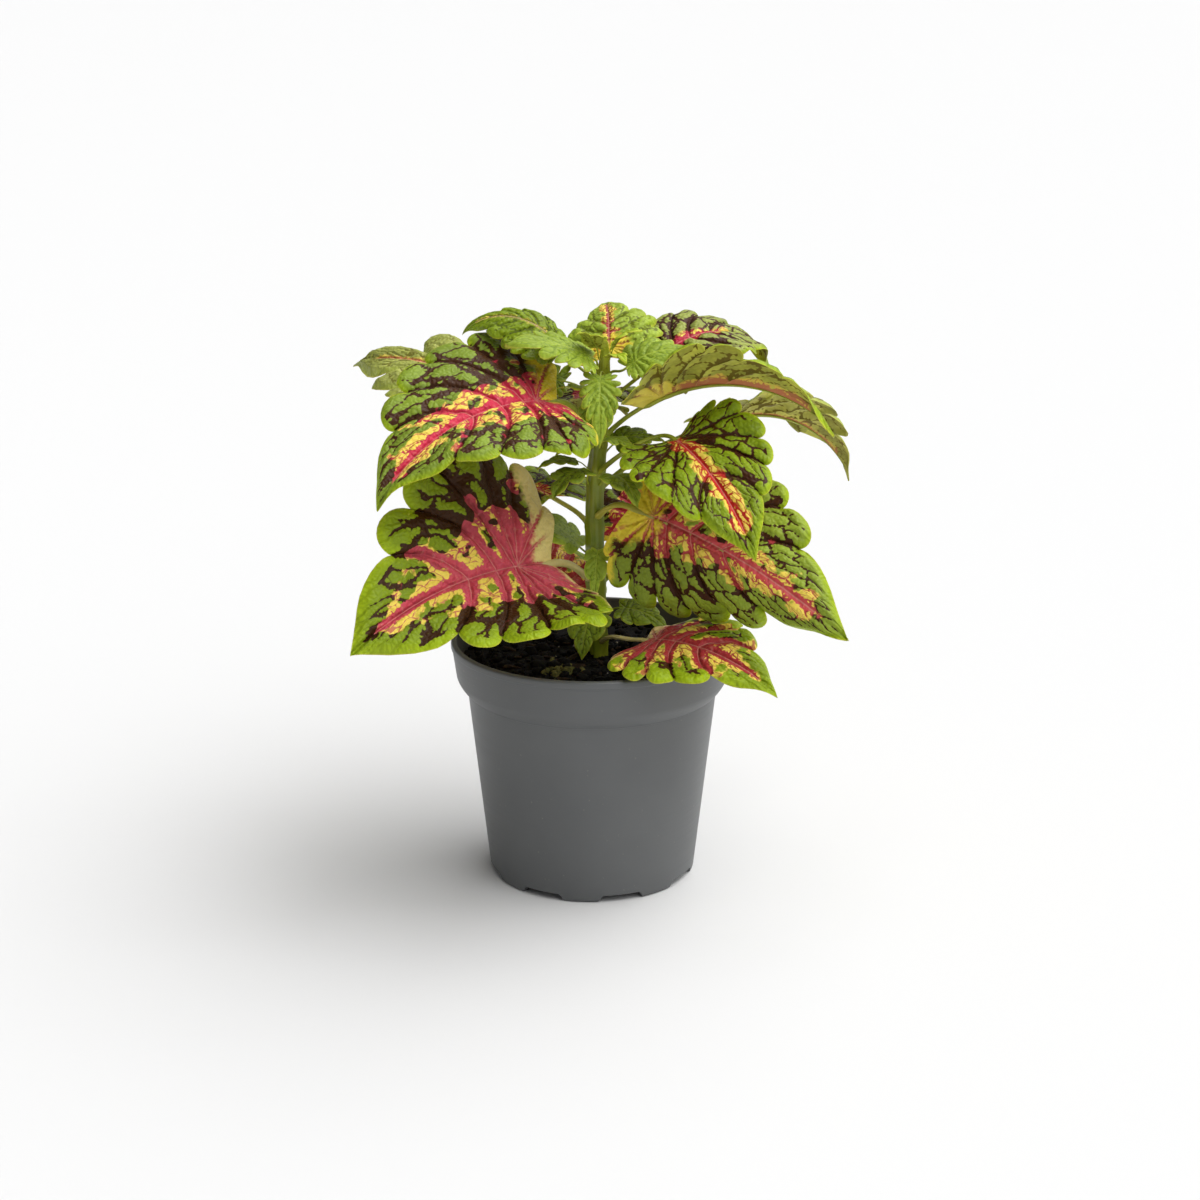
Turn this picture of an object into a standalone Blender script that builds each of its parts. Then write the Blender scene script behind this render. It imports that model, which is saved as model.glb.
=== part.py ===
"""Potted coleus: a grey nursery pot, its soil, one square stem and the leaves it carries.

Metres, +Z up. The origin is the middle of the pot's underside, on the surface it stands on.
-Y is the front. Leaf angles are in degrees, anticlockwise from +X seen from above.
"""
from dataclasses import dataclass
from math import cos, pi, radians, sin

import bmesh
import bpy
import numpy as np

MM = 0.001
GAP = 0.3 * MM                    # clearance between pieces that touch
MERGE = 0.001 * MM

# Pot
POT_HEIGHT = 103 * MM
RIM_RADIUS = 60 * MM
LIP_WIDTH = 2.5 * MM
LIP_HEIGHT = 3.2 * MM
LIP_ROUND = 1.2 * MM
BAND_TAPER = 2.2 * MM             # how much narrower the band is at its lower end
BAND_HEIGHT = 18 * MM             # the straight part of the rim band
SHOULDER_HEIGHT = 3.5 * MM        # the round step below it
BODY_TOP_RADIUS = 53.2 * MM
BODY_FOOT_RADIUS = 44.2 * MM
WALL = 1.4 * MM
FOOT_HEIGHT = 2.2 * MM            # how far the floor of the pot stands off the ground
FOOT_WIDTH = 3.0 * MM
FOOT_ROUND = 1.2 * MM
CENTRE_PAD_RADIUS = 14 * MM       # flat pad in the middle of the underside
NOTCHES = 8
NOTCH_ANGLE = 20                  # degrees round the foot
FIRST_NOTCH = -73.5               # degrees, middle of one notch
HOLE_RADIUS = 3.2 * MM
HOLE_CIRCLE = 33 * MM
HOLE_STEPS = 12
POT_STEPS = 64

# Soil
SOIL_TOP = 94 * MM
SOIL_CROWN = 1.5 * MM             # how much higher it lies round the stem
SOIL_STEPS = 40

# Stem: height, x, y and half width, from the root end to the tip
STEM_FOOT = 84 * MM
STEM_LINE = ((84, 2.5, 0.0, 3.7), (100, 2.5, 0.0, 3.6), (140, 1.3, 0.0, 3.4), (165, 1.3, 0.0, 3.2),
             (192, 3.2, 0.5, 2.9), (214, 4.8, 1.0, 2.4), (226, 5.4, 1.5, 1.5), (232, 5.5, 1.5, 0.5))
STEM_TURN = 30                    # direction of the first of its four faces
STEM_CORNER = 0.28                # chamfer as a share of the half width
STEM_RINGS = 24

# Leaves
BLADE_THICKNESS = 0.8 * MM
TIP_LOBE = 0.24                   # share of the half margin that the lobe at the tip takes
LOBE_GROWTH = 1.2                 # above 1, the other lobes grow larger towards the tip
SHOULDERS = (0.25, 0.75)          # where a lobe's round edge has its two corners
SHOULDER_CUT = 0.134              # how far they lie back, as a share of the lobe's depth
FAN_SHARE = 0.30                  # share of the margin whose veins all leave the petiole's end
FOOT_POWER = 1.5
EAR_START = -0.08                 # along the blade, where the basal lobes' own curl is full
EAR_REACH = 0.5                   # how far from there it fades out
PETIOLE_RISE = 35                 # degrees above level where it leaves the stem
PETIOLE_RINGS = 4
PETIOLE_FLATNESS = 0.85           # its height as a share of its width
PETIOLE_SWELL = 1.25              # its width at the stem as a share of that at the blade
PETIOLE_WIDTH = 0.012             # half width at the blade as a share of the blade's length
# Half outline of a blade one long and standard width: along the midrib, across it
HALF_OUTLINE = ((-0.012, 0.012), (-0.045, 0.10), (-0.075, 0.21), (-0.03, 0.33), (0.08, 0.405),
                (0.23, 0.43), (0.40, 0.395), (0.58, 0.295), (0.74, 0.175), (0.88, 0.068), (1.0, 0.0))
HALF_WIDTH = 0.43
OUTLINE_STEPS = 200


@dataclass(frozen=True)
class Leaf:
    """One leaf. Lengths are in millimetres and angles in degrees."""

    name: str
    height: float                 # where its petiole leaves the stem
    face: int                     # which of the stem's four faces carries it
    base: tuple                   # where the petiole ends and the blade begins
    aim: float                    # heading of the midrib at the base
    length: float
    width: float = 1.0            # times the standard width
    pitch: tuple = (20, -40)      # rise of the midrib at its base and at its tip
    sway: float = 0               # turn of the heading from base to tip
    roll: tuple = (0, 0)          # turn about the midrib at the base, and its change to the tip
    fold: tuple = (0, 0)          # slope of the left and right half beside the midrib
    cup: tuple = (-15, -15)       # change of that slope from midrib to margin
    ear: tuple = (0, 0)           # what is added to the cup at the base of the left and right half
    lobes: int = 8                # on each side
    depth: float = 0.045          # of the lobes, as a share of the blade's length


LEAVES = (
    # three low pairs
    Leaf("leaf_rim_right", 102, 3, (22, -28, 111), 320, 70,
         width=1.05, pitch=(15, -29), sway=1, roll=(12, 11), cup=(-22, 3), lobes=7, depth=0.06),
    Leaf("leaf_rim_back", 105, 1, (-12, 18, 112), 115, 62, width=0.95, pitch=(50, -5), depth=0.055),
    Leaf("leaf_low_left", 130, 2, (-17, -18, 141), 216, 104,
         width=1.27, pitch=(8, -29), sway=8, roll=(-39, -5), fold=(13, 18), cup=(33, 15), ear=(0, -45),
         depth=0.065),
    Leaf("leaf_low_back_right", 127, 0, (20, 18, 144), 62, 80, width=0.95, pitch=(42, -35), sway=-5),
    Leaf("leaf_low_right", 157, 3, (17, -16, 164), 329, 110,
         width=0.9, pitch=(-11, -30), sway=-8, roll=(46, 14), fold=(-3, -34), cup=(-15, -34),
         ear=(0, 35), depth=0.06),
    Leaf("leaf_low_back_left", 150, 1, (-18, 20, 160), 135, 86, width=0.95, pitch=(15, -45)),
    # two upper pairs
    Leaf("leaf_mid_left", 192, 2, (-15, -12, 208), 210, 97,
         width=1.13, pitch=(9, -49), sway=15, roll=(-17, 17), fold=(9, 16), cup=(-23, -5)),
    Leaf("leaf_arched_back", 168, 0, (54, 32, 189.5), 31, 86,
         width=0.84, pitch=(12, -63), roll=(-5, 25), fold=(0, 30), cup=(-10, 0), depth=0.06),
    Leaf("leaf_mid_right", 176, 3, (34, -16, 193), 298, 73,
         width=0.98, pitch=(-8, -53), sway=4, roll=(15, 9), fold=(8, 3), cup=(6, 16), ear=(45, 0)),
    Leaf("leaf_far_left", 184, 1, (-36, 20, 203), 152, 88,
         width=0.95, pitch=(24, -18), sway=-14, roll=(-3, -20), fold=(0, 5), cup=(-8, -9), lobes=7,
         depth=0.08),
    Leaf("leaf_mid_back", 192, 1, (-2, 20, 203), 101, 66, width=0.9, pitch=(10, -62), fold=(-6, 0)),
    # the crown
    Leaf("leaf_arched_right", 190, 0, (22, -6, 205), 2, 86,
         width=0.9, pitch=(31, -44), sway=-24, roll=(0, -8), fold=(2, 40), cup=(-27, 0), ear=(0, -40)),
    Leaf("leaf_top_left", 210, 1, (-13, 5, 227), 163, 51,
         width=0.85, pitch=(51, -49), sway=-8, roll=(-8, -18), fold=(-10, -2), cup=(-25, -40)),
    Leaf("leaf_top_right", 204, 0, (27, 13, 220), 22, 68,
         width=0.9, pitch=(41, -57), sway=21, roll=(8, 8), fold=(10, 0), cup=(-16, -8)),
    Leaf("leaf_top_back", 213, 1, (7, 8, 223), 88, 49,
         width=1.1, pitch=(43, -8), sway=8, roll=(-8, -6), fold=(-7, 0), cup=(-20, -13)),
    Leaf("young_leaf_left", 216, 2, (0, -6, 225), 197, 38,
         width=0.92, pitch=(30, -6), sway=-4, roll=(-10, -7), fold=(-5, 6), cup=(-16, -9), lobes=6,
         depth=0.08),
    Leaf("young_leaf_dark", 203, 1, (-12, 9, 212), 176, 38,
         width=0.65, pitch=(10, -15), roll=(-40, 0), lobes=6, depth=0.08),
    Leaf("young_leaf_right", 216, 0, (15, -7, 221.5), 4, 32,
         width=1.1, pitch=(40, -25), roll=(20, 0), fold=(5, 5), lobes=6, depth=0.08),
    Leaf("young_leaf_front", 212, 3, (5, -11, 218.5), 280, 32,
         width=0.6, pitch=(-35, -85), fold=(5, 5), lobes=6, depth=0.08),
    Leaf("bud_leaf_left", 222, 2, (2, -3, 227), 222, 16,
         pitch=(60, 0), fold=(15, 15), lobes=4, depth=0.08),
    Leaf("bud_leaf_right", 222, 0, (9, 0, 228), 350, 15,
         pitch=(65, 0), fold=(15, 15), lobes=4, depth=0.08),
    Leaf("bud_leaf_front", 219, 3, (8, -5, 225), 305, 12,
         pitch=(35, -45), fold=(10, 10), lobes=4, depth=0.08),
    # side shoots in the leaf corners
    Leaf("side_leaf_upper_front", 201, 2, (2.5, -7.5, 206), 262, 19,
         pitch=(-35, -80), fold=(5, 5), lobes=4, depth=0.08),
    Leaf("side_leaf_upper_left", 206, 2, (-1, -6, 212), 200, 14,
         pitch=(15, -5), fold=(5, 5), lobes=4, depth=0.08),
    Leaf("side_leaf_mid_left", 185, 2, (-2, -6, 189), 215, 17, fold=(5, 5), lobes=4, depth=0.08),
    Leaf("side_leaf_mid_right", 170, 3, (9, -8, 176), 302, 23,
         width=0.95, pitch=(10, -65), fold=(5, 5), lobes=5, depth=0.08),
    Leaf("side_leaf_mid_back", 182, 0, (10, 3, 187), 12, 24,
         pitch=(30, -40), roll=(15, 0), fold=(5, 5), lobes=5, depth=0.08),
    Leaf("side_leaf_mid_front", 170, 2, (-3, -8, 178), 232, 24,
         pitch=(15, -60), fold=(5, 5), lobes=5, depth=0.08),
    Leaf("side_leaf_low_left", 137, 1, (-6, 3, 143), 160, 30,
         pitch=(45, 10), fold=(5, 5), lobes=5, depth=0.08),
    Leaf("side_leaf_root_left", 112, 2, (0, -7, 118), 252, 24,
         pitch=(-30, -75), fold=(5, 5), lobes=5, depth=0.08),
    Leaf("side_leaf_low_front", 138, 3, (2.5, -6.5, 143), 262, 22,
         width=0.6, pitch=(-35, -85), fold=(5, 5), lobes=4, depth=0.08),
    Leaf("side_leaf_mid_far_left", 176, 2, (-7, -3, 181), 190, 17,
         pitch=(15, -35), fold=(5, 5), lobes=4, depth=0.08),
    Leaf("side_leaf_neck_right", 186, 3, (6, -6, 191), 318, 16,
         pitch=(20, -50), fold=(5, 5), lobes=4, depth=0.08),
    Leaf("side_leaf_neck_back", 198, 0, (8, 8, 203), 48, 14,
         pitch=(0, -40), fold=(5, 5), lobes=4, depth=0.08),
    Leaf("side_leaf_root_right", 110, 0, (12, -3, 117), 343, 25,
         pitch=(5, -50), roll=(15, 0), fold=(5, 5), lobes=5, depth=0.08),
)


def smooth_curve(points, count):
    """Evenly spaced points on a smooth curve through the given ones."""
    line = np.array(points, float)
    ends = np.vstack([2 * line[0] - line[1], line, 2 * line[-1] - line[-2]])
    share = np.linspace(0, 1, 40, endpoint=False)[:, None]
    parts = []
    for before, start, end, after in zip(ends, ends[1:], ends[2:], ends[3:]):
        bow = 2 * before - 5 * start + 4 * end - after
        turn = 3 * start - before - 3 * end + after
        parts.append(start + 0.5 * ((end - before) * share + bow * share ** 2 + turn * share ** 3))
    dense = np.vstack(parts + [line[-1:]])
    steps = np.linalg.norm(np.diff(dense, axis=0), axis=1)
    run = np.concatenate([[0], np.cumsum(steps)])
    wanted = np.linspace(0, run[-1], count)
    return np.stack([np.interp(wanted, run, dense[:, k]) for k in range(dense.shape[1])], axis=1)


def unit(vector):
    """The vector at length one."""
    return vector / np.linalg.norm(vector, axis=-1, keepdims=True)


# ---------------------------------------------------------------- leaves

def midrib_frames(leaf, along):
    """Place, heading, left and up of the blade at shares of the midrib."""
    grid = np.linspace(-0.3, 1, 200)
    share = np.clip(grid, -0.1, 1)
    rise = np.radians(leaf.pitch[0] + (leaf.pitch[1] - leaf.pitch[0]) * share)
    turn = np.radians(leaf.aim + leaf.sway * share)
    roll = np.radians(leaf.roll[0] + leaf.roll[1] * share)[:, None]
    ahead = np.stack([np.cos(rise) * np.cos(turn), np.cos(rise) * np.sin(turn), np.sin(rise)], axis=1)
    level = np.stack([-np.sin(turn), np.cos(turn), np.zeros_like(turn)], axis=1)
    above = np.cross(ahead, level)
    left = level * np.cos(roll) + above * np.sin(roll)
    up = above * np.cos(roll) - level * np.sin(roll)
    place = np.cumsum(ahead, axis=0) * (grid[1] - grid[0])

    def at(values):
        return np.stack([np.interp(along, grid, values[:, k]) for k in range(3)], axis=-1)

    origin = np.array([np.interp(0, grid, place[:, k]) for k in range(3)])
    return at(place) - origin, at(ahead), at(left), at(up)


def bend(leaf, along, across):
    """Points and normals on the bent blade, in metres, for flat ones; the left half is positive."""
    place, _, left, up = midrib_frames(leaf, along)
    is_left = across >= 0
    side = np.where(is_left, 1.0, -1.0)
    start = np.radians(np.where(is_left, *leaf.fold))
    fade = np.clip(1 - (along - EAR_START) / EAR_REACH, 0, 1) ** 2
    change = np.where(is_left, *leaf.cup) + np.where(is_left, *leaf.ear) * fade
    curl = np.radians(change) / (HALF_WIDTH * leaf.width)
    curl = np.where(np.abs(curl) < 1e-6, 1e-6, curl)
    slope = start + curl * np.abs(across)
    reach = side * (np.sin(slope) - np.sin(start)) / curl
    lift = (np.cos(start) - np.cos(slope)) / curl
    tilt = np.where(np.abs(across) < 1e-9, 0.0, side * slope)[..., None]
    normal = up * np.cos(tilt) - left * np.sin(tilt)
    point = place + reach[..., None] * left + lift[..., None] * up
    return (np.array(leaf.base) + leaf.length * point) * MM, normal


def blade_rows(leaf):
    """Flat rows of a blade from petiole to tip, each from its left to its right margin."""
    notches = np.append((1 - TIP_LOBE) * np.linspace(0, 1, leaf.lobes) ** LOBE_GROWTH, 1.0)
    place, cut = [0.0], [0.0]
    for lobe in range(leaf.lobes):
        is_tip = lobe == leaf.lobes - 1
        for shoulder in SHOULDERS:
            is_open = shoulder > 0.5 if is_tip else lobe == 0 and shoulder < 0.5
            place.append(lobe + shoulder)
            cut.append(0.0 if is_open else SHOULDER_CUT * leaf.depth)
        place.append(lobe + 1.0)
        cut.append(0.0 if is_tip else leaf.depth)
    share = np.interp(place, range(leaf.lobes + 1), notches)
    outline = smooth_curve(np.array(HALF_OUTLINE) * (1, leaf.width), OUTLINE_STEPS)
    even = np.linspace(0, 1, OUTLINE_STEPS)
    margin = np.stack([np.interp(share, even, outline[:, k]) for k in (0, 1)], axis=1)
    foot = np.clip((share - FAN_SHARE) / (1 - FAN_SHARE), 0, 1) ** FOOT_POWER
    start = np.stack([foot, np.zeros(len(share))], axis=1)
    span = np.linalg.norm(margin - start, axis=1)
    edge = margin + (start - margin) * (np.array(cut) / np.maximum(span, 0.1))[:, None]
    middle = (start + edge) / 2
    mirror = np.array([1, -1])
    return np.stack([edge, middle, start, middle * mirror, edge * mirror], axis=1)


def petiole_rings(leaf, width):
    """Rings of ten points from the stem out to the blade, each from left over the top and back."""
    face = radians(STEM_TURN + 90 * leaf.face)
    out = np.array([cos(face), sin(face), 0])
    centre, half = stem_at(leaf.height * MM)
    root = centre + out * (half + GAP)
    rise = radians(PETIOLE_RISE)
    leave = out * cos(rise) + np.array([0, 0, sin(rise)])
    _, ahead, blade_left, _ = midrib_frames(leaf, np.array([0.0]))
    end = np.array(leaf.base) * MM - ahead[0] * 1.5 * width
    reach = 0.4 * np.linalg.norm(end - root)
    knots = (root, root + leave * reach, end - ahead[0] * reach, end)
    rings = []
    for share in np.linspace(0, 1, PETIOLE_RINGS):
        rest = 1 - share
        weights = (rest ** 3, 3 * rest ** 2 * share, 3 * rest * share ** 2, share ** 3)
        slopes = (-3 * rest ** 2, 3 * rest ** 2 - 6 * rest * share,
                  6 * rest * share - 3 * share ** 2, 3 * share ** 2)
        middle = sum(w * k for w, k in zip(weights, knots))
        heading = unit(sum(w * k for w, k in zip(slopes, knots))) if share > 0 else out
        left = np.cross((0, 0, 1), out) * rest + blade_left[0] * share
        left = unit(left - heading * np.dot(left, heading))
        up = np.cross(heading, left)
        size = width * (PETIOLE_SWELL * rest + share)
        turns = np.radians(np.arange(162, -180, -36))
        sideways = np.outer(-np.cos(turns), left)
        upward = np.outer(np.sin(turns), up) * PETIOLE_FLATNESS
        rings.append(middle + size * (sideways + upward))
    return rings


def leaf_mesh(leaf):
    """One closed mesh of a blade and its petiole."""
    rows = blade_rows(leaf)
    point, normal = bend(leaf, rows[..., 0], rows[..., 1])
    top = point + normal * BLADE_THICKNESS / 2
    bottom = point - normal * BLADE_THICKNESS / 2
    width = (PETIOLE_WIDTH * leaf.length * leaf.width + 0.1) * MM
    rings = petiole_rings(leaf, width)
    rings.append(np.vstack([top[0], bottom[0][::-1]]))
    mesh = bmesh.new()
    grid_top = [[mesh.verts.new(p) for p in row] for row in top]
    grid_bottom = [[mesh.verts.new(p) for p in row] for row in bottom]
    loops = [[mesh.verts.new(p) for p in ring] for ring in rings]
    for k in range(len(top) - 1):
        for i in range(4):
            mesh.faces.new((grid_top[k][i], grid_top[k][i + 1], grid_top[k + 1][i + 1], grid_top[k + 1][i]))
            mesh.faces.new((grid_bottom[k][i + 1], grid_bottom[k][i], grid_bottom[k + 1][i],
                            grid_bottom[k + 1][i + 1]))
        for i in (0, 4):
            mesh.faces.new((grid_top[k][i], grid_top[k + 1][i], grid_bottom[k + 1][i], grid_bottom[k][i]))
    join_rings(mesh, loops)
    mesh.faces.new(loops[0])
    return mesh


# ---------------------------------------------------------------- stem, soil and pot

def stem_at(height):
    """Centre and half width of the stem at a height."""
    line = smooth_curve(STEM_LINE, 200) * MM
    across, back, half = (float(np.interp(height, line[:, 0], line[:, k])) for k in (1, 2, 3))
    return np.array([across, back, height]), half


def join_rings(mesh, loops):
    """Quads between neighbouring rings of vertices."""
    for one, two in zip(loops, loops[1:]):
        count = len(one)
        for i in range(count):
            j = (i + 1) % count
            mesh.faces.new((one[i], one[j], two[j], two[i]))


def stem_mesh():
    """The square stem with its corners taken off, from the root end to the bud."""
    mesh = bmesh.new()
    rings = []
    for height in np.linspace(STEM_FOOT, STEM_LINE[-1][0] * MM, STEM_RINGS):
        centre, half = stem_at(height)
        chamfer = half * (1 - STEM_CORNER)
        ring = []
        for face in range(4):
            angle = radians(STEM_TURN + 90 * face)
            out = np.array([cos(angle), sin(angle), 0])
            side = np.array([-sin(angle), cos(angle), 0])
            ring += [centre + out * half - side * chamfer, centre + out * half + side * chamfer]
        rings.append([mesh.verts.new(p) for p in ring])
    join_rings(mesh, rings)
    mesh.faces.new(rings[0])
    mesh.faces.new(rings[-1])
    return mesh


def turned_mesh(profile, steps, centres=None):
    """A closed solid turned from radius and height pairs that begin and end on its axis."""
    mesh = bmesh.new()
    centres = centres or [(0, 0)] * len(profile)
    turns = [2 * pi * i / steps for i in range(steps)]
    loops = []
    for (radius, height), (x, y) in list(zip(profile, centres))[1:-1]:
        loops.append([mesh.verts.new((x + radius * cos(a), y + radius * sin(a), height)) for a in turns])
    join_rings(mesh, loops)
    for loop, end in ((loops[0], 0), (loops[-1], -1)):
        pole = mesh.verts.new((*centres[end], profile[end][1]))
        for i in range(steps):
            mesh.faces.new((loop[i], loop[(i + 1) % steps], pole))
    return mesh


def shoulder_foot():
    """Height at which the round step below the rim band meets the body."""
    return POT_HEIGHT - BAND_HEIGHT - SHOULDER_HEIGHT


def body_radius(height):
    """Outside radius of the pot's tapering body at a height."""
    return BODY_FOOT_RADIUS + (BODY_TOP_RADIUS - BODY_FOOT_RADIUS) * height / shoulder_foot()


def pot_profile():
    """Radius and height pairs of the wall's section: under the floor, up the outside, down the inside."""
    band_foot = POT_HEIGHT - BAND_HEIGHT
    band_radius = RIM_RADIUS - BAND_TAPER
    foot_inside = BODY_FOOT_RADIUS - FOOT_WIDTH
    floor = FOOT_HEIGHT + WALL
    profile = [(0, 0), (CENTRE_PAD_RADIUS - FOOT_HEIGHT / 2, 0), (CENTRE_PAD_RADIUS, FOOT_HEIGHT),
               (foot_inside - FOOT_HEIGHT / 2, FOOT_HEIGHT), (foot_inside, 0),
               (BODY_FOOT_RADIUS - FOOT_ROUND, 0), (body_radius(FOOT_ROUND), FOOT_ROUND),
               (BODY_TOP_RADIUS, shoulder_foot())]
    for turn in (30, 60, 90):
        out = BODY_TOP_RADIUS + (band_radius - BODY_TOP_RADIUS) * sin(radians(turn))
        profile.append((out, band_foot - SHOULDER_HEIGHT * cos(radians(turn))))
    profile += [(RIM_RADIUS, POT_HEIGHT - LIP_HEIGHT), (RIM_RADIUS, POT_HEIGHT - LIP_ROUND),
                (RIM_RADIUS - LIP_ROUND * 0.3, POT_HEIGHT - LIP_ROUND * 0.3),
                (RIM_RADIUS - LIP_ROUND, POT_HEIGHT), (RIM_RADIUS - LIP_WIDTH, POT_HEIGHT),
                (band_radius - WALL, band_foot), (BODY_TOP_RADIUS - WALL, shoulder_foot()),
                (body_radius(floor) - WALL, floor), (CENTRE_PAD_RADIUS, floor), (0, floor)]
    return profile


def box_mesh(mesh, corners):
    """Add a closed block from its four lower and four upper corners, in the same order."""
    verts = [mesh.verts.new(c) for c in corners]
    mesh.faces.new(verts[:4])
    mesh.faces.new(verts[4:])
    for i in range(4):
        j = (i + 1) % 4
        mesh.faces.new((verts[i], verts[j], verts[j + 4], verts[i + 4]))


def pot_cutter():
    """The notches in the foot and the drain holes in the floor, as one guide mesh."""
    mesh = bmesh.new()
    inner = BODY_FOOT_RADIUS - FOOT_WIDTH - 2 * FOOT_HEIGHT
    outer = BODY_FOOT_RADIUS + 4 * MM
    for k in range(NOTCHES):
        middle = radians(FIRST_NOTCH + 360 / NOTCHES * k)
        corners = []
        for height, half in ((-FOOT_HEIGHT, NOTCH_ANGLE * 0.56), (FOOT_HEIGHT * 0.9, NOTCH_ANGLE * 0.44)):
            for radius, turn in ((inner, -half), (outer, -half), (outer, half), (inner, half)):
                angle = middle + radians(turn)
                corners.append((radius * cos(angle), radius * sin(angle), height))
        box_mesh(mesh, corners)
        turns = [2 * pi * i / HOLE_STEPS for i in range(HOLE_STEPS)]
        place = (HOLE_CIRCLE * cos(middle), HOLE_CIRCLE * sin(middle))
        loops = [[mesh.verts.new((place[0] + HOLE_RADIUS * cos(a), place[1] + HOLE_RADIUS * sin(a), z))
                  for a in turns] for z in (FOOT_HEIGHT * 0.5, FOOT_HEIGHT + WALL * 2)]
        join_rings(mesh, loops)
        mesh.faces.new(loops[0])
        mesh.faces.new(loops[1])
    return mesh


def soil_mesh():
    """The soil: it fills the pot up to its headspace and has a socket for the stem's foot."""
    centre, half = stem_at(STEM_FOOT)
    socket = half * 2 ** 0.5 * (1 - STEM_CORNER / 2) + 2 * GAP
    floor = FOOT_HEIGHT + WALL + GAP
    wall = body_radius(floor) - WALL - GAP
    top = shoulder_foot()
    band_inside = RIM_RADIUS - BAND_TAPER - WALL
    share = (SOIL_TOP - top) / (POT_HEIGHT - top)
    edge = BODY_TOP_RADIUS - WALL + (RIM_RADIUS - LIP_WIDTH - BODY_TOP_RADIUS + WALL) * share
    profile = [(0, STEM_FOOT - GAP), (socket, STEM_FOOT - GAP), (socket, SOIL_TOP + SOIL_CROWN),
               (0.3 * edge, SOIL_TOP + SOIL_CROWN), (0.65 * edge, SOIL_TOP + SOIL_CROWN / 2),
               (min(edge, band_inside) - 2 * GAP, SOIL_TOP), (BODY_TOP_RADIUS - WALL - 2 * GAP, top - GAP),
               (wall, floor), (0, floor)]
    stem_middle = (centre[0], centre[1])
    centres = [stem_middle] * 3 + [(0, 0)] * (len(profile) - 3)
    return turned_mesh(profile, SOIL_STEPS, centres)


# ---------------------------------------------------------------- objects

def material(name, colour, roughness):
    """A plain principled material."""
    made = bpy.data.materials.new(name)
    made.use_nodes = True
    shader = made.node_tree.nodes["Principled BSDF"]
    shader.inputs["Base Color"].default_value = (*colour, 1)
    shader.inputs["Roughness"].default_value = roughness
    return made


def add_object(name, mesh, finish, smooth_angle=None):
    """Clean a bmesh, turn its faces out and add it to the scene as an object."""
    bmesh.ops.remove_doubles(mesh, verts=mesh.verts, dist=MERGE)
    bmesh.ops.recalc_face_normals(mesh, faces=mesh.faces)
    data = bpy.data.meshes.new(name)
    mesh.to_mesh(data)
    mesh.free()
    if finish:
        data.materials.append(finish)
    if smooth_angle is not None:
        data.shade_smooth()
        data.set_sharp_from_angle(angle=radians(smooth_angle))
    made = bpy.data.objects.new(name, data)
    bpy.context.scene.collection.objects.link(made)
    return made


def build_pot(finish):
    """The pot, with its notches and drain holes cut."""
    pot = add_object("pot", turned_mesh(pot_profile(), POT_STEPS), finish, 35)
    guide = add_object("pot_cutter", pot_cutter(), None)
    guide.hide_render = True
    guide.display_type = "WIRE"
    cut = pot.modifiers.new("notches_and_holes", "BOOLEAN")
    cut.object = guide
    cut.operation = "DIFFERENCE"
    cut.solver = "EXACT"


def main():
    """Build every piece in an emptied scene."""
    for old in list(bpy.data.objects):
        bpy.data.objects.remove(old)
    build_pot(material("grey_plastic", (0.11, 0.115, 0.115), 0.5))
    add_object("soil", soil_mesh(), material("peat_soil", (0.012, 0.009, 0.007), 0.95), 40)
    green = material("stem_green", (0.16, 0.25, 0.03), 0.5)
    add_object("stem", stem_mesh(), green, 40)
    leaf_green = material("leaf_green", (0.22, 0.36, 0.03), 0.45)
    young_green = material("young_leaf_green", (0.32, 0.5, 0.07), 0.45)
    for leaf in LEAVES:
        finish = leaf_green if leaf.name.startswith("leaf") else young_green
        add_object(leaf.name, leaf_mesh(leaf), finish, 50)


if __name__ == "__main__":
    main()
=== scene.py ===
"""Looks of a potted coleus: its leaves, stem, soil and grey nursery pot, on a pale studio floor.

Lengths are in metres unless a name or comment says millimetres. +Z is up and -Y is the front.
"""
import logging
from dataclasses import asdict, dataclass, replace
from enum import Enum
from math import cos, pi, radians, sin

import bmesh
import bpy
import numpy as np
from mathutils import Euler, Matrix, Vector, noise


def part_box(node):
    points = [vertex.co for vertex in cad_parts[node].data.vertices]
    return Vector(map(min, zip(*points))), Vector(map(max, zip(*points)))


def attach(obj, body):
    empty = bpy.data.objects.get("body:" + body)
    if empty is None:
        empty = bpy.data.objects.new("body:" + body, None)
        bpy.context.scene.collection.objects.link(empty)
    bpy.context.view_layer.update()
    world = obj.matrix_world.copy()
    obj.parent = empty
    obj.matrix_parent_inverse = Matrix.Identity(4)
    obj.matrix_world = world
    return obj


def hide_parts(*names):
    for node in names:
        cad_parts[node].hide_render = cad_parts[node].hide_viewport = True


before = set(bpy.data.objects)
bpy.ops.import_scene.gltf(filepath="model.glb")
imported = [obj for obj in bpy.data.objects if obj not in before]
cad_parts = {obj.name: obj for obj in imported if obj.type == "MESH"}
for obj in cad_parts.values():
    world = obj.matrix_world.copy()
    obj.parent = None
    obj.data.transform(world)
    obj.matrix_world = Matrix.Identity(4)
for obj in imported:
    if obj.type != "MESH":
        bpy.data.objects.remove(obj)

log = logging.getLogger("coleus")

MM = 0.001
Colour = tuple[float, float, float]
Pair = tuple[float, float]

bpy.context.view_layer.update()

# what a blade's mesh carries for its finish, all but share in millimetres
CARRIED = ("side_vein", "midrib", "margin", "sinus", "share")
BLADE_MAP = "blade"               # the flat blade
STRIP_MAP = "strip"               # each strip between two side veins, laid out straight
MAP_SCALE = 100.0                 # millimetres to one unit of both maps


# ---------------------------------------------------------------- node wiring

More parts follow.
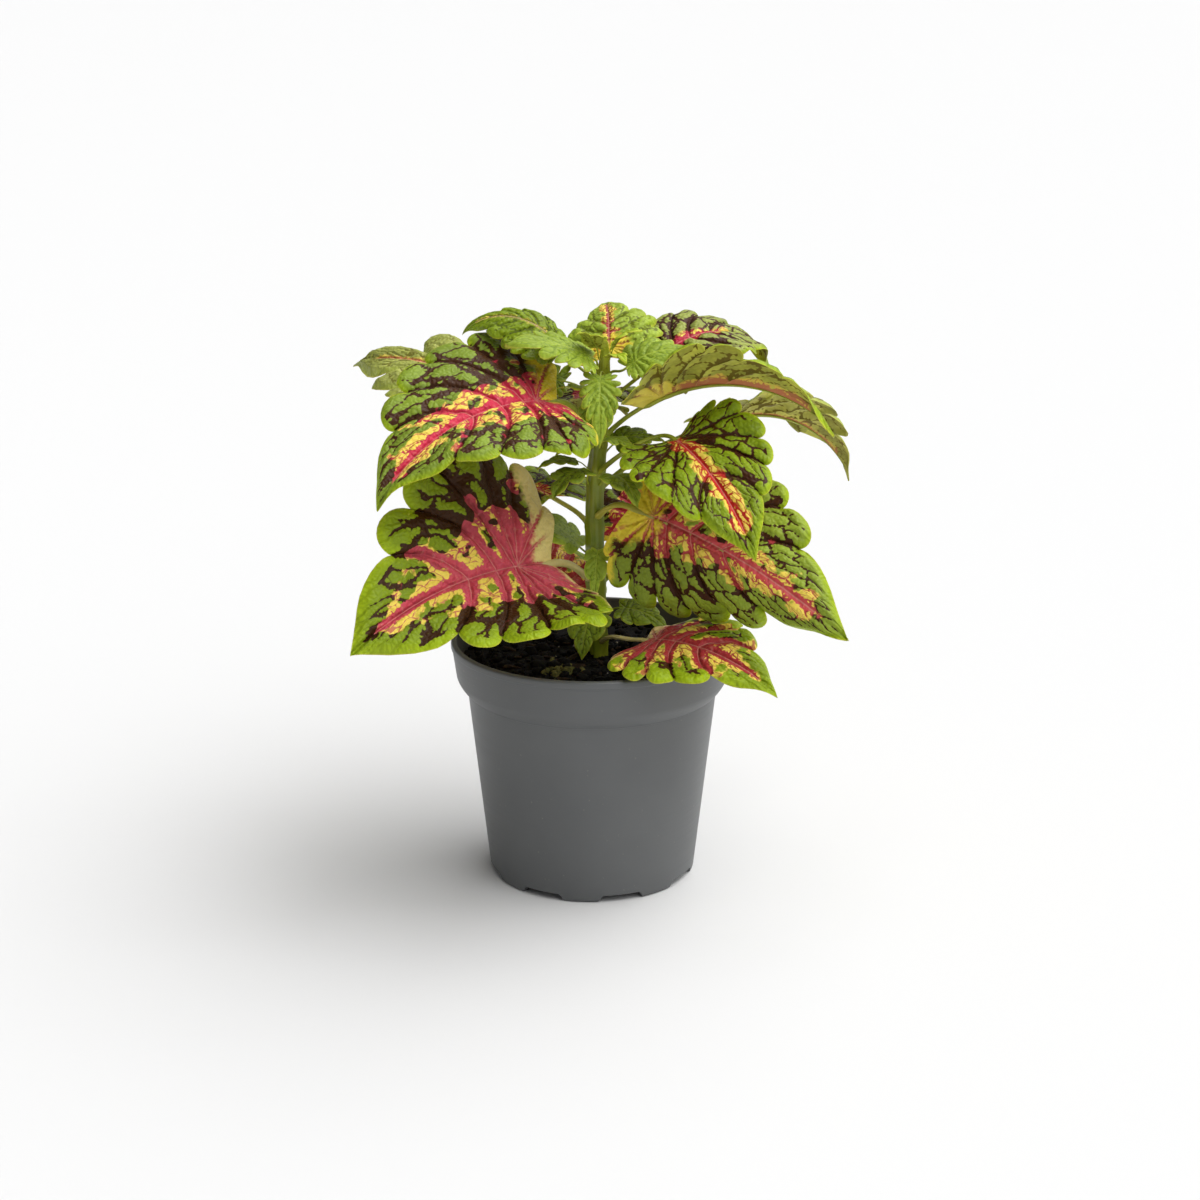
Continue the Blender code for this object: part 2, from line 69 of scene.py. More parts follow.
class Value:
    """An output of a node; the operators on it add Math nodes to its tree."""

    def __init__(self, wire: "Wiring", socket: bpy.types.NodeSocket) -> None:
        """Hold one output of a tree."""
        self.wire = wire
        self.socket = socket

    def beside(self, output: str) -> "Value":
        """Another output of the same node."""
        return Value(self.wire, self.socket.node.outputs[output])

    def __add__(self, other: object) -> "Value":
        """The sum of both."""
        return self.wire.math("ADD", self, other)

    def __sub__(self, other: object) -> "Value":
        """This less the other."""
        return self.wire.math("SUBTRACT", self, other)

    def __rsub__(self, other: object) -> "Value":
        """The other less this."""
        return self.wire.math("SUBTRACT", other, self)

    def __mul__(self, other: object) -> "Value":
        """The product of both."""
        return self.wire.math("MULTIPLY", self, other)

    def __truediv__(self, other: object) -> "Value":
        """This divided by the other."""
        return self.wire.math("DIVIDE", self, other)

    def __rtruediv__(self, other: object) -> "Value":
        """The other divided by this."""
        return self.wire.math("DIVIDE", other, self)

    __radd__ = __add__
    __rmul__ = __mul__


class Wiring:
    """Adds nodes to one tree and links them."""

    def __init__(self, tree: bpy.types.NodeTree) -> None:
        """Wire the given tree."""
        self.tree = tree

    def feed(self, socket: bpy.types.NodeSocket, value: object) -> None:
        """Link a value to an input, or set the input's own value."""
        if isinstance(value, Value):
            self.tree.links.new(value.socket, socket)
        elif isinstance(value, tuple) and socket.type == "RGBA":
            socket.default_value = (*value, 1.0)
        else:
            socket.default_value = value

    def out(self, kind: str, inputs: dict | None = None, output: int | str = 0, **settings: object) -> Value:
        """Add one node.

        Args:
            kind: The node's type without its ShaderNode prefix.
            inputs: Values for its inputs, by name or index.
            output: Which of its outputs is wanted.
            settings: Attributes to set on it first.

        Returns:
            That output.
        """
        made = self.tree.nodes.new("ShaderNode" + kind)
        for name, value in settings.items():
            setattr(made, name, value)
        for key, value in (inputs or {}).items():
            self.feed(made.inputs[key], value)
        return Value(self, made.outputs[output])

    def math(self, operation: str, *values: object, clamp: bool = False) -> Value:
        """Result of one Math node on up to three values."""
        return self.out("Math", dict(enumerate(values)), operation=operation, use_clamp=clamp)

    def clamp(self, total: Value) -> Value:
        """The same sum, kept between 0 and 1."""
        total.socket.node.use_clamp = True
        return total

    def vector(self, operation: str, one: object, two: object) -> Value:
        """Result of one Vector Math node."""
        return self.out("VectorMath", {0: one, 1: two}, operation=operation)

    def axis(self, place: Value, name: str) -> Value:
        """One coordinate of a place."""
        return self.out("SeparateXYZ", {0: place}, name)

    def step(self, value: object, start: object, end: object) -> Value:
        """Smooth rise from 0 at start to 1 at end; start may be the larger."""
        inputs = {"Value": value, "From Min": start, "From Max": end}
        return self.out("MapRange", inputs, "Result", interpolation_type="SMOOTHSTEP")

    def mix(self, share: object, one: object, two: object, blend: str = "MIX") -> Value:
        """Colour one turning into colour two as share goes from 0 to 1."""
        inputs = {"Factor_Float": share, "A_Color": one, "B_Color": two}
        made = self.tree.nodes.new("ShaderNodeMix")
        made.data_type, made.blend_type = "RGBA", blend
        for socket in made.inputs:
            if socket.identifier in inputs:
                self.feed(socket, inputs[socket.identifier])
        return Value(self, next(socket for socket in made.outputs if socket.type == "RGBA"))

    def noise(self, place: Value, scale: object, detail: float = 2.0, rough: float = 0.5) -> Value:
        """Noise about zero, from -0.5 to 0.5."""
        inputs = {"Vector": place, "Scale": scale, "Detail": detail, "Roughness": rough}
        return self.out("TexNoise", inputs, noise_dimensions="3D") - 0.5

    def cells(self, place: Value, scale: object, uneven: float, feature: str, output: str) -> Value:
        """An output of a flat cell pattern."""
        inputs = {"Vector": place, "Scale": scale, "Randomness": uneven}
        return self.out("TexVoronoi", inputs, output, feature=feature, voronoi_dimensions="2D")

    def cell_edge(self, place: Value, scale: object, uneven: float = 1.0) -> Value:
        """Distance to the nearest edge of a flat cell pattern, in cells."""
        return self.cells(place, scale, uneven, "DISTANCE_TO_EDGE", "Distance")


def new_group(name: str, inputs: dict[str, object], outputs: dict[str, str]) -> tuple:
    """Make an empty shader node group with its sockets.

    Args:
        name: The group's name.
        inputs: Default value of each input, a number or a colour.
        outputs: Socket type of each output, Float or Color.

    Returns:
        The group, its wiring, its inputs by name and its output node.
    """
    tree = bpy.data.node_groups.new(name, "ShaderNodeTree")
    for label, value in inputs.items():
        kind = "Color" if isinstance(value, tuple) else "Float"
        socket = tree.interface.new_socket(label, in_out="INPUT", socket_type="NodeSocket" + kind)
        socket.default_value = (*value, 1.0) if kind == "Color" else value
    for label, kind in outputs.items():
        tree.interface.new_socket(label, in_out="OUTPUT", socket_type="NodeSocket" + kind)
    wire = Wiring(tree)
    given = tree.nodes.new("NodeGroupInput").outputs
    return tree, wire, {label: Value(wire, given[label]) for label in inputs}, tree.nodes.new("NodeGroupOutput")


@dataclass
class Skin:
    """A material with one Principled shader."""

    name: str

    def __post_init__(self) -> None:
        """Make the material."""
        self.material = bpy.data.materials.new(self.name)
        self.material.use_nodes = True
        self.wire = Wiring(self.material.node_tree)
        self.shader = self.material.node_tree.nodes["Principled BSDF"]

    def place(self) -> Value:
        """Places in the piece's own frame."""
        return self.wire.out("TexCoord", output="Object")

    def set(self, **values: object) -> None:
        """Link or set inputs of the shader, named with _ for each space."""
        for label, value in values.items():
            self.wire.feed(self.shader.inputs[label.replace("_", " ")], value)

    def bump(self, height: Value, distance: float, strength: float) -> None:
        """Roughen the surface by a height, up to a distance in millimetres."""
        inputs = {"Height": height, "Distance": distance * MM, "Strength": strength}
        self.set(Normal=self.wire.out("Bump", inputs))

    def scatter(self, weight: float, distance: float) -> None:
        """Let light into plant tissue by a distance in millimetres."""
        self.set(Subsurface_Weight=weight, Subsurface_Radius=(1.0, 1.0, 0.3), Subsurface_Scale=distance * MM)


# ---------------------------------------------------------------- leaf finishes

class Pattern(Enum):
    """How a blade is marked."""

    RASPBERRY = "broad raspberry heart in a heavy dark net"
    FLAME = "raspberry band with yellow edges in a dark net"
    NETTED = "red midrib with yellow edges and a dark net on green"
    STREAKED = "yellow base, pink streaks and an uneven dark net"
    DUSKY = "dusky heart with cream blotches in a plain green margin"
    SPRING = "light green with a yellow base and red veins"
    OPEN_NET = "green with a broad open net"
    ARCHED = "plain green above, tan midrib and yellow base below"
    SHADED = "olive green with a dim net"
    MUTED = "grey green with faint veins"
    FRESH = "plain young green"
    # painted shade: a darker copy of the young green, for leaves that sit in the plant's shade
    DEEP = "darker young green"
    BUD = "plain pale green"


def tint(red: int, green: int, blue: int) -> Colour:
    """Linear colour of screen values from 0 to 255."""
    return tuple(round(((v / 255 + 0.055) / 1.055) ** 2.4 if v > 10 else v / 255 / 12.92, 4)
                 for v in (red, green, blue))


@dataclass(frozen=True)
class BladeFinish:
    """Colours and markings of a blade's upper face. Widths and lengths are in millimetres."""

    margin: Colour = tint(160, 184, 22)
    island: Colour = tint(136, 158, 26)
    net: Colour = tint(66, 32, 10)
    vein: Colour = tint(196, 48, 74)
    # painted highlight: the pale line drawn along the midrib and the side veins near it, and the pale flecks in
    # the vein colour
    hairline: Colour = tint(232, 170, 150)
    patch: Colour = tint(255, 224, 96)
    base: Colour = tint(234, 208, 110)
    midrib: Pair = (2.0, 1.0)         # half width of the coloured midrib, at base and tip
    reach: Pair = (5.0, 2.0)          # how far its colour runs out along the side veins
    swell: float = 1.0                # half width of those coloured side veins
    edging: float = 1.5               # width of the yellow patches along the coloured veins
    band: float = 1.0                 # half width of the dark band along a side vein
    branch: float = 0.5               # half width of the net between side veins
    cell: float = 7.0                 # size of the islands in that net
    rim: float = 4.0                  # width of the plain margin
    basal: Pair = (0.0, 0.0)          # width of the pale zone by the petiole, on the left and right
    basal_reach: float = 0.0          # radius of the pale zone about the petiole's end
    hub: float = -20.0                # radius of the vein colour there; below zero for none
    ragged: float = 1.0               # how jagged the edges of the markings are
    mottle: float = 1.0               # how much the green varies
    rough: float = 0.46
    seed: float = 0.0

    def beneath(self) -> "BladeFinish":
        """The finish of the same blade's under side: paler, partly its own colour and partly a painted glow of
        light shining through, with dimmer markings.
        """
        def toward(colour: Colour, pale: Colour, share: float) -> Colour:
            return tuple(a + (b - a) * share for a, b in zip(colour, pale))
        # olive brightened past the under side's own colour to paint light shining through the leaf
        olive = tint(196, 190, 90)
        return replace(self, margin=toward(self.margin, olive, 0.55), island=toward(self.island, olive, 0.7),
                       net=toward(self.net, tint(120, 104, 36), 0.8),
                       vein=toward(self.vein, tint(196, 132, 88), 0.7),
                       hairline=tint(208, 176, 110), patch=toward(self.patch, tint(196, 172, 80), 0.5),
                       mottle=2.2, rough=0.6)

    def inputs(self) -> dict[str, object]:
        """The finish as the inputs of the blade group, each pair as two of them."""
        made = {}
        for label, value in asdict(self).items():
            is_pair = isinstance(value, tuple) and len(value) == 2
            made.update({f"{label}_{k}": v for k, v in enumerate(value, 1)} if is_pair else {label: value})
        return made


FINISHES = {
    Pattern.RASPBERRY: BladeFinish(midrib=(4.2, 1.8), reach=(30, 9), swell=3.3, edging=4.4, band=3.6,
        branch=1.2, cell=9.0, rim=5.0, basal=(1.0, 10.0), basal_reach=1, hub=13, vein=tint(214, 84, 100),
        net=tint(62, 34, 8), base=tint(246, 226, 146), seed=3),
    # its base is brightened past the blade's own yellow to paint light shining through it
    Pattern.FLAME: BladeFinish(midrib=(3.6, 1.6), reach=(20, 7), swell=2.2, edging=5.4, band=1.4, branch=0.7,
        cell=7.5, rim=2.5, basal=(1, 8), basal_reach=3, hub=8, base=tint(255, 230, 62), vein=tint(216, 54, 82),
        net=tint(70, 38, 14), island=tint(134, 156, 48), seed=11),
    Pattern.NETTED: BladeFinish(midrib=(1.3, 1.0), reach=(2.0, 1.0), swell=0.4, edging=4.0, band=0.7,
        branch=0.35, cell=6.0, rim=2.0, vein=tint(208, 44, 44), ragged=0.6, seed=5),
    # its base is brightened past the blade's own yellow to paint light shining through it
    Pattern.STREAKED: BladeFinish(midrib=(1.9, 1.2), reach=(17, 6), swell=1.3, edging=4.4, band=1.2, branch=0.6,
        rim=3.0, basal=(2, 2), basal_reach=14, base=tint(255, 232, 72), vein=tint(212, 80, 84),
        island=tint(152, 172, 56), seed=7),
    Pattern.DUSKY: BladeFinish(midrib=(3.2, 1.3), reach=(25, 10), swell=3.0, edging=3.2, band=1.5, branch=0.6,
        rim=7.0, basal=(5, 1), basal_reach=3, hub=11, vein=tint(180, 56, 60), base=tint(236, 206, 140), seed=2),
    Pattern.SPRING: BladeFinish(midrib=(0.9, 0.4), reach=(8, 0), swell=0.5, edging=1.8, band=0.4, branch=0.15,
        cell=5.0, rim=4.0, basal_reach=11, vein=tint(160, 30, 26), base=tint(244, 220, 70),
        island=tint(158, 180, 56), margin=tint(164, 186, 50), net=tint(110, 120, 24), seed=4),
    Pattern.OPEN_NET: BladeFinish(midrib=(3.0, -3.0), reach=(9, -9), swell=1.6, edging=1.6, band=0.8,
        branch=0.45, cell=7.0, rim=2.0, island=tint(160, 170, 80), net=tint(70, 36, 18), seed=9),
    # its base is brightened past the blade's own yellow to paint light shining through it
    Pattern.ARCHED: BladeFinish(midrib=(3.4, 0.8), reach=(7, 2), swell=1.0, edging=1.8, band=0.5, branch=0.25,
        rim=3.0, basal_reach=15, base=tint(255, 236, 104), vein=tint(206, 112, 84), net=tint(80, 76, 14),
        seed=13),
    Pattern.SHADED: BladeFinish(midrib=(0.7, 0.4), reach=(2, 1), swell=0.4, edging=0.5, band=0.4, branch=0.2,
        rim=3.0, island=tint(128, 150, 22), margin=tint(146, 170, 28), net=tint(86, 100, 12),
        vein=tint(124, 134, 26), seed=15),
    Pattern.MUTED: BladeFinish(midrib=(1.0, 0.5), reach=(3, 1), swell=0.6, edging=0.6, band=0.3, branch=0.15,
        rim=3.0, island=tint(166, 172, 84), margin=tint(168, 180, 78), net=tint(122, 120, 46),
        vein=tint(206, 134, 92), seed=6),
    Pattern.FRESH: BladeFinish(midrib=(0.4, 0.2), reach=(1, 1), swell=0.2, edging=0.0, band=0.2, branch=0.1,
        cell=3.0, rim=1.5, island=tint(152, 174, 54), margin=tint(162, 188, 58), net=tint(120, 144, 34),
        vein=tint(166, 186, 60), hairline=tint(176, 192, 80), ragged=0.5, seed=8),
    # painted shade: the young green darkened for leaves deep in the plant
    Pattern.DEEP: BladeFinish(midrib=(0.4, 0.2), reach=(1, 1), swell=0.2, edging=0.0, band=0.25, branch=0.12,
        cell=3.5, rim=1.5, island=tint(126, 148, 34), margin=tint(138, 162, 38), net=tint(86, 100, 16),
        vein=tint(126, 140, 30), hairline=tint(176, 192, 80), ragged=0.5, seed=12),
    Pattern.BUD: BladeFinish(midrib=(0.3, 0.2), reach=(1, 1), swell=0.2, edging=0.0, band=0.12, branch=0.08,
        cell=2.5, rim=1.0, island=tint(168, 190, 40), margin=tint(178, 202, 44), net=tint(142, 164, 28),
        vein=tint(184, 200, 76), hairline=tint(176, 192, 80), ragged=0.4, seed=10),
}


class BladeMarkings:
    """Marks a blade in a node group, from the distances that its mesh carries, in millimetres."""

    # scales of the noises, and of the smallest cells, in the blade's maps
    BROAD, PATCHY, DRIFT, FINE, AREOLES = 9.0, 14.0, 20.0, 42.0, 46.0
    UNEVEN = 0.85                     # how irregular the islands of the net are

    def __init__(self, wire: Wiring, get: dict[str, Value]) -> None:
        """Read the mesh and make the noises that every marking shares."""
        self.wire, self.get = wire, get
        self.side_vein, self.midrib, self.margin, self.sinus, self.share = [
            wire.out("Attribute", output="Fac", attribute_name=name, attribute_type="GEOMETRY")
            for name in CARRIED]
        self.nearest = wire.math("MINIMUM", self.side_vein, self.midrib)
        self.flat = wire.out("UVMap", uv_map=BLADE_MAP)
        shift = wire.out("CombineXYZ", {"X": get["seed"], "Y": get["seed"]})
        self.place = wire.vector("ADD", self.flat, shift)
        self.strip = wire.vector("ADD", wire.out("UVMap", uv_map=STRIP_MAP), shift)
        self.away = wire.out("VectorMath", {0: self.flat}, "Value", operation="LENGTH") * MAP_SCALE
        self.broad = wire.noise(self.place, self.BROAD, 1.0)
        self.patchy = wire.noise(self.place, self.PATCHY, 1.0)
        self.fine = wire.noise(self.place, self.FINE, 2.0)
        self.areole = wire.math("MINIMUM", wire.cell_edge(self.place, self.AREOLES) * 2.2, 1.1)
        self.scallop = ((self.areole - 0.5) * 0.8 + self.fine * 0.7) * get["ragged"]
        self.sway = self.broad * 1.5 + 1.0

    def between(self, label: str) -> Value:
        """A pair's value that changes evenly from the blade's base to its tip."""
        inputs = {"Value": self.share, "To Min": self.get[label + "_1"], "To Max": self.get[label + "_2"]}
        return self.wire.out("MapRange", inputs, "Result")

    def net(self) -> None:
        """Measure to the edge of the dark bands along the side veins and of the net between them."""
        wire, get = self.wire, self.get
        plain = wire.step(self.margin + self.broad * 7.0, get["rim"], 0.0)
        by_margin = wire.step(self.margin, 0.0, 11.0) * 0.7 + 0.3
        band = self.side_vein - get["band"] * (self.patchy * 2.6 + 1.0) * by_margin
        drift = wire.out("TexNoise", {"Vector": self.place, "Scale": self.DRIFT, "Detail": 0.0}, "Color")
        drift = wire.vector("SUBTRACT", drift, (0.5, 0.5, 0.5))
        drift = wire.out("VectorMath", {0: drift, "Scale": 0.05}, operation="SCALE")
        self.bent = wire.vector("MULTIPLY", wire.vector("ADD", self.strip, drift), (0.72, 1.0, 1.0))
        scale = MAP_SCALE / get["cell"]
        edge = wire.cell_edge(self.bent, scale, self.UNEVEN)
        middle = wire.cells(self.bent, scale, self.UNEVEN, "F1", "Distance")
        self.island_edge = wire.math("SMOOTH_MIN", edge, 0.72 - middle, 0.2) * get["cell"]
        self.island = wire.out("SeparateColor", {0: middle.beside("Color")})
        width = get["branch"] * (by_margin * 0.65 + 0.35) * (1.7 - wire.step(self.nearest, 0.5, 5.0) * 1.1)
        branch = self.island_edge - width * self.sway + plain * 5.0
        self.net_edge = wire.math("SMOOTH_MIN", band, branch, get["branch"] * 1.5) + self.scallop

    def heart(self) -> tuple[Value, Value, Value]:
        """The coloured midrib and the side veins near it.

        Returns:
            Their mask, the mask of the yellow patches beside them, and how far out along the side
            veins a place lies, from 0 at the midrib to 1 where the colour ends.
        """
        wire, get = self.wire, self.get
        reach = self.between("reach")
        near_tip = wire.step(self.share, 0.80, 0.93)
        half = self.between("midrib") * self.sway * wire.step(self.margin, 0.0, 10.0) - near_tip * 3.0
        hub = self.away + self.broad * 14.0 - get["hub"]
        middle = wire.math("SMOOTH_MIN", self.midrib - half, hub, 2.0)
        out = wire.clamp(self.midrib / wire.math("MAXIMUM", reach, 0.1))
        side = self.side_vein - get["swell"] * (1.2 - out * 0.9) * self.sway
        beyond = self.midrib - reach + self.broad * (reach * 2.2)
        side = side + wire.step(beyond, -3.0, 3.0) * 9.0
        edge = wire.math("SMOOTH_MIN", middle, side, 1.5)
        beside = get["edging"] * (self.patchy * 5.0 * get["ragged"] + 0.7)
        patch = edge + self.scallop * 1.5 - beside + near_tip * 9.0
        patch = wire.step(patch, 0.8, -0.8) * wire.step(get["edging"], 0.0, 0.3)
        return wire.step(edge + self.scallop, 0.2, -0.2), patch, out

    def rungs(self) -> Value:
        """Mask of the threads that break the yellow into small patches."""
        wire = self.wire
        small = wire.vector("MULTIPLY", self.bent, (1.3, 0.8, 1.0))
        gap = wire.cell_edge(small, 210.0 / self.get["cell"], 1.0)
        narrow = wire.step(self.side_vein, 6.0, 1.0) * 0.09 + self.patchy * 0.4
        return wire.step(gap - narrow + self.fine * 0.25, 0.08, -0.02)

    def base(self) -> tuple[Value, Value]:
        """Masks of the pale zone by the petiole and of its flecks."""
        wire, get = self.wire, self.get
        on_left = wire.step(wire.axis(self.flat, "Y"), -0.01, 0.01)
        basal = wire.out("Mix", {0: on_left, 2: get["basal_2"], 3: get["basal_1"]}, data_type="FLOAT")
        edge = wire.math("MAXIMUM", basal - self.sinus, get["basal_reach"] - self.away)
        edge = edge + self.patchy * 6.0 - self.scallop * 1.4
        any_base = wire.step(wire.math("MAXIMUM", basal, get["basal_reach"]), 0.0, 1.0)
        flecks = wire.step(self.nearest + self.scallop * 1.2, 0.9, 0.2) * wire.step(edge, 9.0, 1.0)
        return wire.step(edge, -2.0, 2.0) * any_base, flecks

    def colour(self) -> Value:
        """Colour of the blade, with painted highlights along its veins and painted shade between its tiny
        raised cells.
        """
        wire, get = self.wire, self.get
        self.net()
        heart, patch, out = self.heart()
        pale, flecks = self.base()
        net = wire.step(self.net_edge + patch * (get["band"] * 0.35), 0.2, -0.2)
        field = wire.mix(wire.step(self.margin, get["rim"], 0.0), get["island"], get["margin"])
        cloud = self.broad * 0.4 + (self.island - 0.5) * 0.22
        # darker along the tiny areole veins, partly their own colour and partly painted shade where the raised
        # cells between them meet; the cloud adds random mottle
        areole_shade_and_mottle = self.areole * 0.16 + 0.91 + cloud * get["mottle"]
        field = wire.mix(1.0, field, wire.out("CombineColor", {0: areole_shade_and_mottle, 1: areole_shade_and_mottle, 2: areole_shade_and_mottle}), "MULTIPLY")
        field = wire.mix(patch, field, get["patch"])
        rung = wire.mix(0.25, get["vein"], get["net"])
        field = wire.mix(patch * self.rungs() * 0.8, field, rung)
        field = wire.mix(net, field, wire.mix(patch, get["net"], rung))
        vein = wire.mix(wire.step(out, 0.5, 1.1), get["vein"], wire.mix(0.5, get["net"], get["vein"]))
        # painted highlights: pale flecks in the coloured veins
        vein = wire.mix(wire.step(self.fine, 0.02, 0.25) * 0.3, vein, get["hairline"])
        # painted highlight: a pale line along the midrib and along the side veins near it
        highlight_line = wire.step(self.side_vein, 0.35, 0.1) * wire.step(out, 0.8, 0.3)
        highlight_line = wire.math("MAXIMUM", wire.step(self.midrib, 0.4, 0.1), highlight_line) * 0.45
        vein = wire.mix(highlight_line, vein, get["hairline"])
        field = wire.mix(heart, field, vein)
        field = wire.mix(pale, field, wire.mix(flecks, get["base"], vein))
        return wire.mix(wire.step(self.margin, 0.4, 0.1) * 0.2, field, get["patch"])

    def height(self) -> Value:
        """Height for bump: veins sunk and the skin between them quilted."""
        wire = self.wire
        groove = wire.step(self.nearest, 0.0, 1.4) * 0.9
        quilt = wire.step(self.island_edge, 0.0, 2.4) * 0.8
        lumps = wire.step(self.areole, 0.0, 0.9) * 0.3
        return (groove + quilt + lumps + self.fine * 0.08) * wire.clamp(self.get["cell"] / 7.0)


def blade_group() -> bpy.types.NodeTree:
    """Build the shared group that marks a blade.

    Returns:
        The group, which puts out a colour, a height for bump and a roughness.
    """
    outputs = {"Colour": "Color", "Height": "Float", "Roughness": "Float"}
    tree, wire, given, result = new_group("coleus_blade", BladeFinish().inputs(), outputs)
    markings = BladeMarkings(wire, given)
    wire.feed(result.inputs["Colour"], markings.colour())
    wire.feed(result.inputs["Height"], markings.height())
    wire.feed(result.inputs["Roughness"], given["rough"] + markings.fine * 0.15)
    return tree


class Stalk(Enum):
    """How a petiole is coloured."""

    GREEN = "light green"
    CREAM = "pale cream"
    YELLOW = "pale yellow green"


class LeafDresser:
    """Makes leaf materials from one shared blade group, each only once."""

    def __init__(self) -> None:
        """Build the group."""
        self.group = blade_group()
        self.made: dict[tuple, bpy.types.Material] = {}

    def blade(self, pattern: Pattern, under: bool) -> bpy.types.Material:
        """The material of a blade's upper or under side.

        Args:
            pattern: How the blade is marked.
            under: True for the under side.

        Returns:
            The material.
        """
        key = (pattern, under)
        if key not in self.made:
            finish = FINISHES[pattern].beneath() if under else FINISHES[pattern]
            skin = Skin("coleus_" + pattern.name.lower() + ("_under" if under else ""))
            colour = skin.wire.out("Group", finish.inputs(), "Colour", node_tree=self.group)
            skin.set(Base_Color=colour, Roughness=colour.beside("Roughness"), Specular_IOR_Level=0.22)
            skin.bump(colour.beside("Height"), 0.9, -0.5 if under else 0.8)
            skin.scatter(0.15, 1.0)
            self.made[key] = skin.material
        return self.made[key]


@dataclass(frozen=True)
class StalkFinish:
    """Cloudy skin of the stem and the petioles, paler towards the crown, with faint streaks."""

    name: str = "coleus_stalk"
    skin: Colour = tint(112, 132, 16)
    pale: Colour = tint(158, 166, 40)
    streak: Colour = tint(124, 78, 30)
    streaks: float = 0.1

    def material(self) -> bpy.types.Material:
        """Build the material."""
        made = Skin(self.name)
        wire, place = made.wire, made.place()
        long_way = wire.out("Mapping", {"Vector": place, "Scale": (1.0, 1.0, 0.12)})
        grain = wire.noise(long_way, 900.0, 3.0)
        cloud = wire.noise(place, 90.0, 2.0)
        high = wire.step(wire.axis(place, "Z"), 0.15, 0.22)
        colour = wire.mix(wire.clamp(cloud * 1.6 + 0.4 + high * 0.4), self.skin, self.pale)
        colour = wire.mix(wire.step(grain, 0.08, 0.2) * self.streaks, colour, self.streak)
        made.set(Base_Color=colour, Roughness=0.42)
        made.bump(grain, 0.2, 0.35)
        made.scatter(0.3, 1.5)
        return made.material


STALKS = {
    Stalk.GREEN: StalkFinish("coleus_petiole", skin=tint(128, 146, 26), pale=tint(172, 180, 62)),
    Stalk.CREAM: StalkFinish("coleus_petiole_cream", skin=tint(204, 190, 120), pale=tint(232, 218, 150)),
    Stalk.YELLOW: StalkFinish("coleus_petiole_yellow", skin=tint(182, 186, 66), pale=tint(214, 206, 104)),
}


# ---------------------------------------------------------------- leaf shapes

@dataclass(frozen=True)
class LeafForm:
    """Where a leaf grows and how its blade bends. Lengths in millimetres, angles in degrees."""

    name: str
    height: float                     # where its petiole leaves the stem
    face: int                         # which of the stem's four faces carries it
    base: tuple                       # where the petiole ends and the blade begins
    aim: float                        # heading of the midrib at the base
    length: float
    pattern: Pattern
    width: float = 1.0                # times the standard width
    pitch: Pair = (20, -40)           # rise of the midrib at its base and at its tip
    sway: float = 0                   # turn of the heading from base to tip
    roll: Pair = (0, 0)               # turn about the midrib at the base, and its change to the tip
    fold: Pair = (0, 0)               # slope of the left and right half beside the midrib
    cup: Pair = (-15, -15)            # change of that slope from midrib to margin
    ear: Pair = (0, 0)                # what is added to the cup at the base of the left and right half
    lobes: int = 8                    # on each side
    depth: float = 0.045              # of the lobes, as a share of the blade's length
    lean: float = 0.012               # of the lobes towards the tip, as a share of the blade's length
    stalk: Stalk = Stalk.GREEN        # colour of the petiole
    fan: float = 0.09                 # where along the midrib the first side veins leave it
    fan_share: float = 0.38           # share of the margin whose veins all leave it there


TINY = {"fold": (5, 5), "lobes": 4, "depth": 0.08}
SMALL = {"fold": (5, 5), "lobes": 5, "depth": 0.08}

SMALL_LEAF = 45.0                 # up to this length, in millimetres, a coarser mesh is enough

